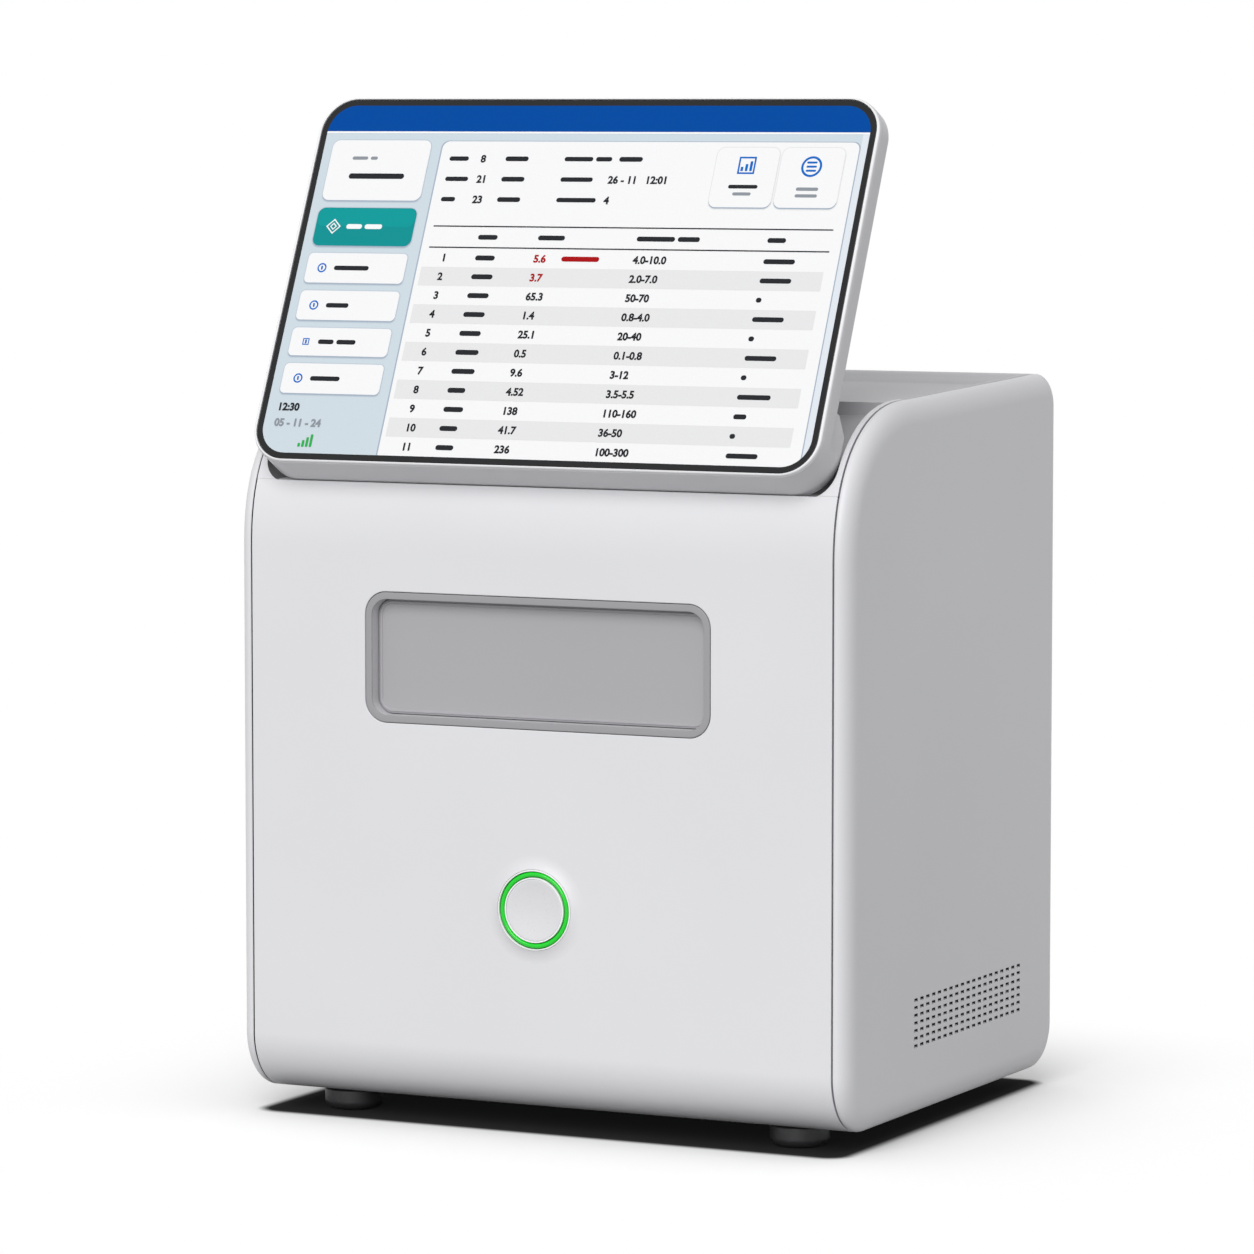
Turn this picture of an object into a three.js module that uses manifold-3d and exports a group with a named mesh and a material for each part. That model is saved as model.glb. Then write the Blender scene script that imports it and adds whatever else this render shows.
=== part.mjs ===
// Bench-top blood analyzer: a boxed instrument on four rubber feet, with a tilting touch screen,
// a motor-driven sample drawer behind the front window and a lit push button.
// Millimetres, X to the right, Y to the back, Z up. In the values below y = 0 is the front face
// and z = 0 the table top. The last lines move the origin to the middle of the footprint.
import * as THREE from "three";
import { mergeVertices } from "three/addons/utils/BufferGeometryUtils.js";
import Module from "manifold-3d";

const wasm = await Module();
wasm.setup();

// General values
const gap = 0.3; // left between pieces that touch
const overrun = 1; // how far a cutting tool passes the face it cuts
const weldDistance = 0.0001;
const roundSides = 24;
const smallSides = 12;
const arcSteps = 6;

// Casing
const body = {
  width: 340,
  depth: 268,
  wall: 3,
  underside: 11,
  frontTop: 290, // where the flat front starts to curve back
  shoulderDepth: 85,
  shoulderTop: 368.5,
  shoulderPower: 2.3,
  backTop: 374.4,
  backTopRadius: 17,
  backBottomRadius: 23,
  frontBottomRadius: 31,
  shoulderSteps: 11,
};
const sidePanel = { seamInset: 8, edgeRounding: 12, wall: 3, innerRounding: 9, steps: 4, innerSteps: 2 };
const seam = {
  frontUnder: 62, // the front cover wraps under the body up to here
  rearWrap: 62, // the rear cover wraps as far over the top and the underside
  rearTop: 340,
};
const vent = {
  columns: 19,
  rows: 7,
  firstY: 83.7,
  pitchY: 7.36,
  firstZ: 46.4,
  pitchZ: 3.86,
  length: 3,
  height: 1.2,
};
const foot = {
  radius: 15,
  chamfer: 2,
  neckRadius: 4,
  barbRadius: 5.5,
  barbHeight: 4,
  sideInset: 44,
  frontY: 41,
  rearInset: 41,
};
const basePlate = { thickness: 2, frontY: 48, arcClear: 1, barbRoom: 1 };

// Screen on its tilt hinge
const screen = {
  tiltDeg: 24.72,
  pivotY: 12,
  pivotZ: 340,
  pivotBehindGlass: 20,
  pivotAboveEdge: 12.8, // above the lower edge of the glass
  halfWidth: 155.3,
  height: 197.6,
  rim: 2.3,
  rimBelow: 1.7,
  cornerRadius: 18,
  glass: 1.5,
  thickness: 14,
  backRounding: 4,
  chinThickness: 27,
  chinReach: 15.9, // of the chin's underside from the pivot
  chinTop: 26,
  shoulderTop: 36,
  chinRounding: 4,
  chinSteps: 5,
  chinCavityHalf: 60,
  border: 6,
  panel: 4.7,
};
const hinge = {
  x: 90,
  knuckleWidth: 16,
  knuckleRadius: 7,
  pinRadius: 3,
  pinEngagement: 10,
  notchClearance: 4,
  notchDepth: 10, // from the glass plane to the notch
  armThickness: 10,
  armClearance: 0.6,
  footDepth: 20,
  footThickness: 4,
};
const screenBoard = { halfWidth: 62, lowEdge: 58, highEdge: 132, depth: 2.2 };
const pocket = { sideRoom: 3.2, sweepRadius: 16.5, cornerRadius: 14 };
const recess = {
  footZ: 340,
  slopeBackY: 70,
  slopeTopZ: 361,
  plateauFrontZ: 367.5,
  plateauRearRoom: 40, // from the plateau's back edge to the body's rear face
  plateauBackZ: 369.5,
  rimRearRoom: 25,
};

// Window, drawer and button
const windowOpening = { centreZ: 237.4, width: 184.6, height: 58.4, radius: 8.4 };
const bezel = { ring: 3.6, radius: 11.6, depth: 12, flange: 6, flangeThickness: 2 };
const drawer = {
  travel: 150,
  faceInset: 6.8, // the drawer front sits this far behind the front face
  faceThickness: 3,
  clearance: 0.3,
  traySideRoom: 6, // between the tray and the side of the window opening
  trayLength: 195,
  trayWall: 2,
  trayFloorZ: 217.3,
  trayTopZ: 236,
};
const cartridge = { middleGap: 2, backClear: 1, length: 88, height: 12.7, capRadius: 9, capHeight: 4 };
const runner = { sideInset: 13, width: 12, height: 7.8, slotWidth: 6.8, slotHeight: 3.8, length: 188 };
const rail = { width: 6, clearance: 0.5 };
const deck = { topZ: 205, thickness: 2, frontY: 30 };
const gear = {
  module: 1.5,
  teeth: 16,
  x: -12,
  y: 40,
  face: 6.4,
  baseZ: 210,
  shaftRadius: 3,
  tipHalfShare: 0.125, // half a tooth's width at its tip, as a share of the pitch
  rootHalfShare: 0.35,
  addendumShare: 0.8,
  dedendumShare: 1.2,
};
const rack = { width: 8, margin: 13 };
const drawerMotor = { size: 34, height: 36, shaftDepth: 12 };
const button = {
  z: 114.6,
  radius: 20.3,
  boreRadius: 15.6,
  sleeveRadius: 18,
  ringInner: 16.4,
  ringOuter: 19.5,
  proud: 2,
  ringFloor: 1.4,
  sleeveDepth: 8,
  capProud: 1.8,
  capHollow: 0.6,
  capThickness: 3,
  stemRadius: 4,
  stemEnd: 12,
  switchSize: 22,
  switchDepth: 16,
};

// Inner frame
const chassis = {
  sideRoom: 32, // from the plate's inner face to the side of the body
  rearRoom: 28,
  thickness: 2,
  frontY: 30,
  topZ: 318,
  windows: 3,
  windowMargin: 21,
  windowRib: 18,
  windowHeight: 44,
  windowRadius: 8,
  windowZ: 110,
};
const hingeBeam = { frontY: 38, depth: 20, bottomZ: 296, height: 10 };
const gantry = {
  y: 150,
  upperZ: 308,
  lowerZ: 276,
  rodRadius: 3,
  carriageHalf: 16,
  carriageDepth: 18,
  carriageMargin: 8,
};
const belt = {
  y: 165,
  z: 292,
  endRoom: 20, // from the pulley's axis to the side plate
  width: 6,
  pulleyRadius: 7,
  thickness: 1.4,
  shaftRadius: 2.5,
  jaw: 4,
};
const liftMotor = { halfWidth: 14, height: 24, inset: 1 };
const beltMotor = { width: 33.7, depth: 34, clearance: 3 };
const head = { halfWidth: 10, depth: 14.7, height: 40, bottomZ: 285, needleRadius: 1.2, needleLength: 15 };
const optics = { frontY: 70, depth: 42, bottomZ: 296, thickness: 4, radius: 12, length: 33.7 };
const opticsCamera = { width: 40, depth: 32, height: 30 };
const bottle = {
  sideRoom: 40, // from its axis to the left side plate
  y: 88,
  radius: 30,
  height: 96,
  neckRadius: 12,
  neckHeight: 14,
  shoulder: 8,
};
const powerSupply = { sideRoom: 26, frontRoom: 12, rearRoom: 33, width: 100, height: 54 };
const mainBoard = { thickness: 1.6, standoff: 3, frontY: 60, bottomZ: 40, height: 110, chip: 6, chipSize: 24 };
const fan = {
  x: 0,
  z: 150,
  size: 60,
  depth: 20,
  bore: 28.3,
  bladeRadius: 27,
  hubRadius: 10,
  hubDepth: 13,
  blades: 7,
  axleRadius: 1.5,
  slots: 9,
  slotPitch: 6,
  slotHeight: 2.5,
  slotWidth: 50,
  strutDepth: 3,
  strutWidth: 4,
  struts: 3,
  bladeThickness: 1.6,
  bladePitchDeg: 35,
};
const inlet = { sideInset: 60, z: 85, flange: 3, depth: 27, width: 28, height: 62, lip: 4 };
const socket = {
  width: 24,
  height: 16,
  depth: 18,
  z: -13, // from the inlet's middle
  bladeWidth: 2,
  bladeHeight: 4,
  bladeLength: 15,
  pitch: 7,
};
const rocker = {
  z: 15,
  width: 20,
  height: 14,
  depth: 16,
  pivotDepth: 5, // the rocker's axis lies this far behind the flange's face
  pinRadius: 1.5,
  swingDeg: 16,
  clearance: 0.8,
};
const io = {
  sideInset: 45,
  width: 17.8,
  bottomZ: 60,
  height: 70,
  depth: 28,
  usbWidth: 13,
  usbHeight: 6,
  lanHeight: 14,
};

const tilt = THREE.MathUtils.degToRad(screen.tiltDeg);
const half = body.width / 2;
const seamX = half - sidePanel.seamInset;
const skinHalf = seamX - gap;
const rearSeamY = body.depth - seam.rearWrap;
const footX = half - foot.sideInset;
const chassisX = half - chassis.sideRoom;
const frameBackY = body.depth - chassis.rearRoom;
const pulleyX = chassisX - belt.endRoom;
const inletX = inlet.sideInset - half;
const ioX = half - io.sideInset;
const pocketHalf = screen.halfWidth + pocket.sideRoom;
const trayHalf = windowOpening.width / 2 - drawer.traySideRoom;
const runnerX = trayHalf - runner.sideInset;

// Closed solids and their joins and cuts

function orientedTriangles(position, index) {
  const corner = (k) => new THREE.Vector3().fromBufferAttribute(position, k);
  const kept = [];
  let volume = 0;
  for (let k = 0; k < index.length; k += 3) {
    const [a, b, c] = index.slice(k, k + 3);
    if (a === b || b === c || c === a) continue;
    kept.push([a, b, c]);
    volume += corner(a).dot(corner(b).cross(corner(c)));
  }
  return kept.flatMap(([a, b, c]) => (volume > 0 ? [a, b, c] : [a, c, b]));
}

function toSolid(geometry) {
  const bare = new THREE.BufferGeometry();
  bare.setAttribute("position", geometry.getAttribute("position").clone());
  if (geometry.index) bare.setIndex(geometry.index.clone());
  const merged = mergeVertices(bare, weldDistance);
  const position = merged.getAttribute("position");
  const triangles = orientedTriangles(position, Array.from(merged.index.array));
  return new wasm.Manifold(
    new wasm.Mesh({ numProp: 3, vertProperties: position.array, triVerts: new Uint32Array(triangles) }),
  );
}

function toGeometry(solid) {
  const mesh = solid.getMesh();
  const geometry = new THREE.BufferGeometry();
  geometry.setAttribute("position", new THREE.BufferAttribute(new Float32Array(mesh.vertProperties), 3));
  geometry.setIndex(new THREE.BufferAttribute(new Uint32Array(mesh.triVerts), 1));
  geometry.computeVertexNormals();
  return geometry;
}

const join = (first, ...others) => others.reduce((a, b) => a.add(b), first);
const cut = (first, ...tools) => tools.reduce((a, b) => a.subtract(b), first);

function block(xs, ys, zs) {
  const geometry = new THREE.BoxGeometry(xs[1] - xs[0], ys[1] - ys[0], zs[1] - zs[0]);
  geometry.translate((xs[0] + xs[1]) / 2, (ys[0] + ys[1]) / 2, (zs[0] + zs[1]) / 2);
  return toSolid(geometry);
}

const about = (centre, size) => [centre - size / 2, centre + size / 2];

// A cylinder along an axis; "at" holds its place on the two other axes, in X, Y, Z order
function rod(axis, radius, span, at, sides = roundSides) {
  const geometry = new THREE.CylinderGeometry(radius, radius, span[1] - span[0], sides);
  if (axis === "x") geometry.rotateZ(Math.PI / 2);
  if (axis === "z") geometry.rotateX(Math.PI / 2);
  const middle = (span[0] + span[1]) / 2;
  const places = { x: [middle, ...at], y: [at[0], middle, at[1]], z: [...at, middle] };
  geometry.translate(...places[axis]);
  return toSolid(geometry);
}

// An outline drawn in the two other axes, in X, Y, Z order, and extruded along one axis
function prism(axis, points, span) {
  const shape = new THREE.Shape(points.map(([a, b]) => new THREE.Vector2(a, b)));
  const geometry = new THREE.ExtrudeGeometry(shape, { depth: span[1] - span[0], bevelEnabled: false });
  const x = new THREE.Vector3(1, 0, 0);
  const y = new THREE.Vector3(0, 1, 0);
  const z = new THREE.Vector3(0, 0, 1);
  const turn = new THREE.Matrix4();
  if (axis === "x") turn.makeBasis(y, z, x).setPosition(span[0], 0, 0);
  if (axis === "y") turn.makeBasis(x, z, y.negate()).setPosition(0, span[1], 0);
  if (axis === "z") turn.setPosition(0, 0, span[0]);
  return toSolid(geometry.applyMatrix4(turn));
}

// A turned piece: its profile in radius and height, closed on the axis or on itself
function turned(profile, axis, at, sides = roundSides) {
  const points = profile.map(([radius, height]) => new THREE.Vector2(radius, height));
  const geometry = new THREE.LatheGeometry(points, sides);
  if (axis === "z") geometry.rotateX(Math.PI / 2);
  geometry.translate(...at);
  return toSolid(geometry);
}

function arc(centre, radii, fromDeg, toDeg, steps = arcSteps) {
  return Array.from({ length: steps + 1 }, (_, k) => {
    const angle = THREE.MathUtils.degToRad(fromDeg + ((toDeg - fromDeg) * k) / steps);
    return [centre[0] + radii[0] * Math.cos(angle), centre[1] + radii[1] * Math.sin(angle)];
  });
}

function roundedRect(centre, width, height, radius) {
  const [a, b] = [width / 2 - radius, height / 2 - radius];
  const radii = [radius, radius];
  return [
    ...arc([centre[0] + a, centre[1] - b], radii, -90, 0),
    ...arc([centre[0] + a, centre[1] + b], radii, 0, 90),
    ...arc([centre[0] - a, centre[1] + b], radii, 90, 180),
    ...arc([centre[0] - a, centre[1] - b], radii, 180, 270),
  ];
}

// Moves an anticlockwise outline inwards by one distance all round
function insetOutline(points, distance) {
  const normal = ([a, b], [c, d]) => new THREE.Vector2(d - b, a - c).normalize();
  return points.map((point, k) => {
    const before = normal(points.at(k - 1), point);
    const after = normal(point, points[(k + 1) % points.length]);
    const move = before.clone().add(after).multiplyScalar(distance / (1 + before.dot(after)));
    return [point[0] - move.x, point[1] - move.y];
  });
}

// A solid through one outline after another: each level has its outline and its height
function loft(levels, place) {
  const positions = levels.flatMap((level) => level.outline.flatMap(([a, b]) => place(a, b, level.at)));
  const count = levels[0].outline.length;
  const index = [];
  for (let level = 0; level + 1 < levels.length; level += 1) {
    for (let k = 0; k < count; k += 1) {
      const a = level * count + k;
      const b = level * count + ((k + 1) % count);
      index.push(a, b, b + count, a, b + count, a + count);
    }
  }
  const ends = levels[0].outline.map(([a, b]) => new THREE.Vector2(a, b));
  const faces = THREE.ShapeUtils.triangulateShape(ends, []);
  const last = (levels.length - 1) * count;
  for (const [a, b, c] of faces) {
    index.push(a, c, b, last + a, last + b, last + c);
  }
  const geometry = new THREE.BufferGeometry();
  geometry.setAttribute("position", new THREE.Float32BufferAttribute(positions, 3));
  geometry.setIndex(index);
  return toSolid(geometry);
}

// Named pieces of the model

const model = new THREE.Group();

function look(color, roughness, metalness = 0) {
  return new THREE.MeshStandardMaterial({ color, roughness, metalness });
}

const looks = {
  casing: look("#dcdcde", 0.45),
  grey: look("#a9a8ab", 0.5),
  rubber: look("#1c1c1e", 0.85),
  glass: look("#101216", 0.1),
  display: look("#dfe6ee", 0.4),
  silver: look("#c8c8ca", 0.35),
  light: look("#1ee63c", 0.4),
  steel: look("#b9bcc0", 0.35, 0.9),
  bright: look("#d5d7da", 0.2, 1),
  black: look("#202124", 0.6),
  board: look("#1d5a3a", 0.6),
  brass: look("#b8923f", 0.35, 0.9),
  reagent: look("#e9ecf0", 0.4),
};

function piece(name, solid, material, parent = model) {
  const mesh = new THREE.Mesh(toGeometry(solid), material);
  mesh.name = name;
  parent.add(mesh);
}

// Casing: one outline in Y and Z shared by the covers and the side panels

function bodyOutline() {
  const b = body;
  const backTop = [b.depth - b.backTopRadius, b.backTop - b.backTopRadius];
  const backBottom = [b.depth - b.backBottomRadius, b.underside + b.backBottomRadius];
  const frontBottom = [b.frontBottomRadius, b.underside + b.frontBottomRadius];
  const shoulder = Array.from({ length: b.shoulderSteps + 1 }, (_, k) => {
    const angle = (Math.PI / 2) * (1 - k / b.shoulderSteps);
    const power = 2 / b.shoulderPower;
    return [
      b.shoulderDepth * (1 - Math.max(0, Math.cos(angle)) ** power),
      b.frontTop + (b.shoulderTop - b.frontTop) * Math.sin(angle) ** power,
    ];
  });
  return [
    ...arc(backBottom, [b.backBottomRadius, b.backBottomRadius], -90, 0),
    ...arc(backTop, [b.backTopRadius, b.backTopRadius], 0, 90),
    ...shoulder,
    ...arc(frontBottom, [b.frontBottomRadius, b.frontBottomRadius], 180, 270),
  ];
}

const outline = bodyOutline();
const skinSpan = [-skinHalf, skinHalf];
const wideSpan = [-half, half];
const lipZ = lipHeight();

// Height at which the room for the screen's foot breaks through the front
function lipHeight() {
  const reach = ([y, z]) => Math.hypot(y - screen.pivotY, z - screen.pivotZ) - pocket.sweepRadius;
  const front = outline.filter(([y, z]) => y < body.shoulderDepth && z < screen.pivotZ);
  const k = front.findIndex((point, n) => reach(point) < 0 && reach(front[n + 1]) >= 0);
  const share = reach(front[k]) / (reach(front[k]) - reach(front[k + 1]));
  return front[k][1] + share * (front[k + 1][1] - front[k][1]) + gap;
}

function skin(wall, inside = wall) {
  const full = prism("x", outline, skinSpan);
  return cut(full, prism("x", insetOutline(outline, inside), wideSpan));
}

// Room that the foot of the screen sweeps through
function pocketRoom() {
  const span = [-pocketHalf, pocketHalf];
  const sweep = rod("x", pocket.sweepRadius, span, [screen.pivotY, screen.pivotZ], 2 * roundSides);
  const backY = screen.pivotY + pocket.sweepRadius;
  const above = block(span, [-body.wall, backY], [screen.pivotZ, body.backTop + overrun]);
  const height = 2 * (body.backTop - screen.pivotZ + pocket.sweepRadius);
  const centreZ = screen.pivotZ - pocket.sweepRadius + height / 2;
  const front = roundedRect([0, centreZ], 2 * pocketHalf, height, pocket.cornerRadius);
  return join(sweep, above).intersect(prism("y", front, [-body.depth, body.depth]));
}

function recessFloor(drop) {
  const r = recess;
  const backY = screen.pivotY + pocket.sweepRadius;
  const plateauBackY = body.depth - r.plateauRearRoom;
  const rimY = body.depth - r.rimRearRoom;
  return [
    [backY - overrun, r.footZ - drop],
    [backY, r.footZ - drop],
    [r.slopeBackY + drop, r.slopeTopZ - drop],
    [r.slopeBackY + drop, r.plateauFrontZ - drop],
    [plateauBackY + drop, r.plateauBackZ - drop],
    [rimY + drop, body.backTop + overrun],
    [rimY + drop, body.backTop + 2 * overrun],
    [backY - overrun, body.backTop + 2 * overrun],
  ];
}

function armTool(clearance, reach) {
  const end = [hingeBeam.frontY + hingeBeam.depth / 2, hingeBeam.bottomZ + hingeBeam.height + gap];
  const along = new THREE.Vector2(end[0] - screen.pivotY, end[1] + hinge.footThickness / 2 - screen.pivotZ);
  const length = along.length() + reach;
  along.normalize();
  const side = new THREE.Vector2(-along.y, along.x).multiplyScalar(hinge.armThickness / 2 + clearance);
  const start = [screen.pivotY, screen.pivotZ];
  const tip = [start[0] + along.x * length, start[1] + along.y * length];
  return [
    [start[0] - side.x, start[1] - side.y],
    [tip[0] - side.x, tip[1] - side.y],
    [tip[0] + side.x, tip[1] + side.y],
    [start[0] + side.x, start[1] + side.y],
  ];
}

function frontCover() {
  const room = block(wideSpan, [-overrun, seam.frontUnder], [0, lipZ - gap]);
  const b = bezel;
  const opening = roundedRect(
    [0, windowOpening.centreZ],
    windowOpening.width + 2 * (b.ring + gap),
    windowOpening.height + 2 * (b.ring + gap),
    b.radius + gap,
  );
  const through = [-overrun, body.wall + overrun];
  return cut(
    skin(body.wall).intersect(room),
    pocketRoom(),
    prism("y", opening, through),
    rod("y", button.sleeveRadius + gap, through, [0, button.z]),
    ...[-1, 1].map((side) => footHole(side * footX, foot.frontY)),
  );
}

function footHole(x, y) {
  const span = [body.underside - overrun, body.underside + body.wall + overrun];
  return rod("z", foot.neckRadius + gap, span, [x, y], smallSides);
}

function topCover() {
  const upper = join(
    block(wideSpan, [-overrun, rearSeamY], [lipZ, body.backTop + overrun]),
    block(wideSpan, [rearSeamY - overrun, body.depth + overrun], [seam.rearTop, body.backTop + overrun]),
  );
  const troughRadius = pocket.sweepRadius + body.wall;
  const troughSpan = [-pocketHalf - body.wall, pocketHalf + body.wall];
  const trough = rod("x", troughRadius, troughSpan, [screen.pivotY, screen.pivotZ], 2 * roundSides);
  const bed = prism("x", recessFloor(body.wall), troughSpan);
  const inner = prism("x", insetOutline(outline, body.wall + gap), wideSpan);
  const lower = block(wideSpan, [-overrun, rearSeamY], [0, lipZ]);
  const clipped = cut(trough.intersect(prism("x", outline, skinSpan)), cut(lower, inner));
  const slots = [-1, 1].map((side) =>
    prism(
      "x",
      armTool(hinge.armClearance, 0),
      about(side * hinge.x, hinge.knuckleWidth + 2 * hinge.armClearance),
    ),
  );
  return cut(
    join(skin(body.wall).intersect(upper), clipped, bed.intersect(prism("x", outline, skinSpan))),
    pocketRoom(),
    prism("x", recessFloor(0), [-pocketHalf, pocketHalf]),
    ...slots,
  );
}

function rearCover() {
  const room = block(wideSpan, [rearSeamY, body.depth + overrun], [0, seam.rearTop - gap]);
  const through = [body.depth - body.wall - overrun, body.depth + overrun];
  const slots = Array.from({ length: fan.slots }, (_, k) => {
    const z = fan.z + (k - (fan.slots - 1) / 2) * fan.slotPitch;
    return block(about(fan.x, fan.slotWidth), through, about(z, fan.slotHeight));
  });
  const inletHole = block(
    about(inletX, inlet.width + 2 * gap),
    through,
    about(inlet.z, inlet.height + 2 * gap),
  );
  const ioHole = block(
    about(ioX, io.width + 2 * gap),
    through,
    [io.bottomZ - gap, io.bottomZ + io.height + gap],
  );
  return cut(
    skin(body.wall).intersect(room),
    ...slots,
    inletHole,
    ioHole,
    ...[-1, 1].map((side) => footHole(side * footX, body.depth - foot.rearInset)),
  );
}

function ventSlots(xs) {
  const slots = [];
  for (let row = 0; row < vent.rows; row += 1) {
    for (let column = 0; column < vent.columns; column += 1) {
      const y = vent.firstY + column * vent.pitchY;
      const z = vent.firstZ + row * vent.pitchZ;
      slots.push(block(xs, about(y, vent.length), about(z, vent.height)));
    }
  }
  return wasm.Manifold.compose(slots);
}

function sidePanelSolid(side) {
  const p = sidePanel;
  const place = (y, z, x) => [side * x, y, z];
  const outer = Array.from({ length: p.steps + 1 }, (_, k) => {
    const angle = ((Math.PI / 2) * k) / p.steps;
    return {
      outline: insetOutline(outline, p.edgeRounding * (1 - Math.cos(angle))),
      at: seamX + p.seamInset * Math.sin(angle),
    };
  });
  const hollow = Array.from({ length: p.innerSteps + 1 }, (_, k) => {
    const angle = ((Math.PI / 2) * k) / p.innerSteps;
    return {
      outline: insetOutline(outline, p.wall + p.innerRounding * (1 - Math.cos(angle))),
      at: seamX + (p.seamInset - p.wall) * Math.sin(angle),
    };
  });
  hollow.unshift({ outline: hollow[0].outline, at: seamX - overrun });
  return cut(loft(outer, place), loft(hollow, place));
}

function casing() {
  piece("front_cover", frontCover(), looks.casing);
  piece("top_cover", topCover(), looks.casing);
  piece("rear_cover", rearCover(), looks.casing);
  piece("left_side_panel", sidePanelSolid(-1), looks.casing);
  const vented = cut(sidePanelSolid(1), ventSlots([half - sidePanel.wall - overrun, half + overrun]));
  piece("right_side_panel", vented, looks.casing);
  const plate = basePlate;
  const bottom = body.underside + body.wall + gap;
  const span = [bottom, bottom + plate.thickness];
  const rearY = body.depth - foot.rearInset;
  const holes = [-1, 1].map((side) =>
    rod("z", foot.barbRadius + plate.barbRoom, [bottom - overrun, span[1] + overrun], [side * footX, rearY]),
  );
  const ys = [plate.frontY, body.depth - body.backBottomRadius - plate.arcClear];
  piece("base_plate", cut(block(skinSpan, ys, span), ...holes), looks.steel);
}

// Rubber feet with a barbed neck pushed through the covers
function feet() {
  const f = foot;
  const top = body.underside - gap;
  const inside = body.underside + body.wall + 2 * gap;
  const profile = [
    [0, 0],
    [f.radius - f.chamfer, 0],
    [f.radius, f.chamfer],
    [f.radius, top - f.chamfer],
    [f.radius - f.chamfer, top],
    [f.neckRadius, top],
    [f.neckRadius, inside],
    [f.barbRadius, inside],
    [f.neckRadius - f.chamfer, inside + f.barbHeight],
    [0, inside + f.barbHeight],
  ];
  const rows = { front: f.frontY, rear: body.depth - f.rearInset };
  for (const [row, y] of Object.entries(rows)) {
    for (const side of [-1, 1]) {
      const name = `foot_${row}_${side < 0 ? "left" : "right"}`;
      const mesh = new THREE.Mesh(toGeometry(turned(profile, "z", [0, 0, 0])), looks.rubber);
      mesh.name = name;
      mesh.position.set(side * footX, y, 0);
      model.add(mesh);
    }
  }
}

// Outlines of the thick foot of the screen, from the glass to the back, in the axes of the screen:
// its underside slopes down from the rim and runs into a round about the hinge axis
function chinLevels() {
  const s = screen;
  const front = new THREE.Vector2(s.glass - s.pivotBehindGlass, -s.pivotAboveEdge - s.rimBelow);
  const rear = s.chinThickness - s.pivotBehindGlass;
  const startDeg = THREE.MathUtils.radToDeg(front.angle() + Math.acos(s.chinReach / front.length()));
  const endDeg = 360 - THREE.MathUtils.radToDeg(Math.acos(rear / s.chinReach));
  const round = arc([0, 0], [s.chinReach, s.chinReach], startDeg, endDeg, s.chinSteps);
  const top = s.height - s.pivotAboveEdge;
  return [front.toArray(), ...round].map(([y, low]) => {
    const past = THREE.MathUtils.clamp(y - rear + s.chinRounding, 0, s.chinRounding);
    const inset = s.chinRounding - Math.sqrt(s.chinRounding ** 2 - past ** 2);
    const width = 2 * (s.halfWidth + s.rim - inset);
    const corner = s.cornerRadius + s.rim - inset;
    return { outline: roundedRect([0, (top + low) / 2], width, top - low, corner), at: y };
  });
}

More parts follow.
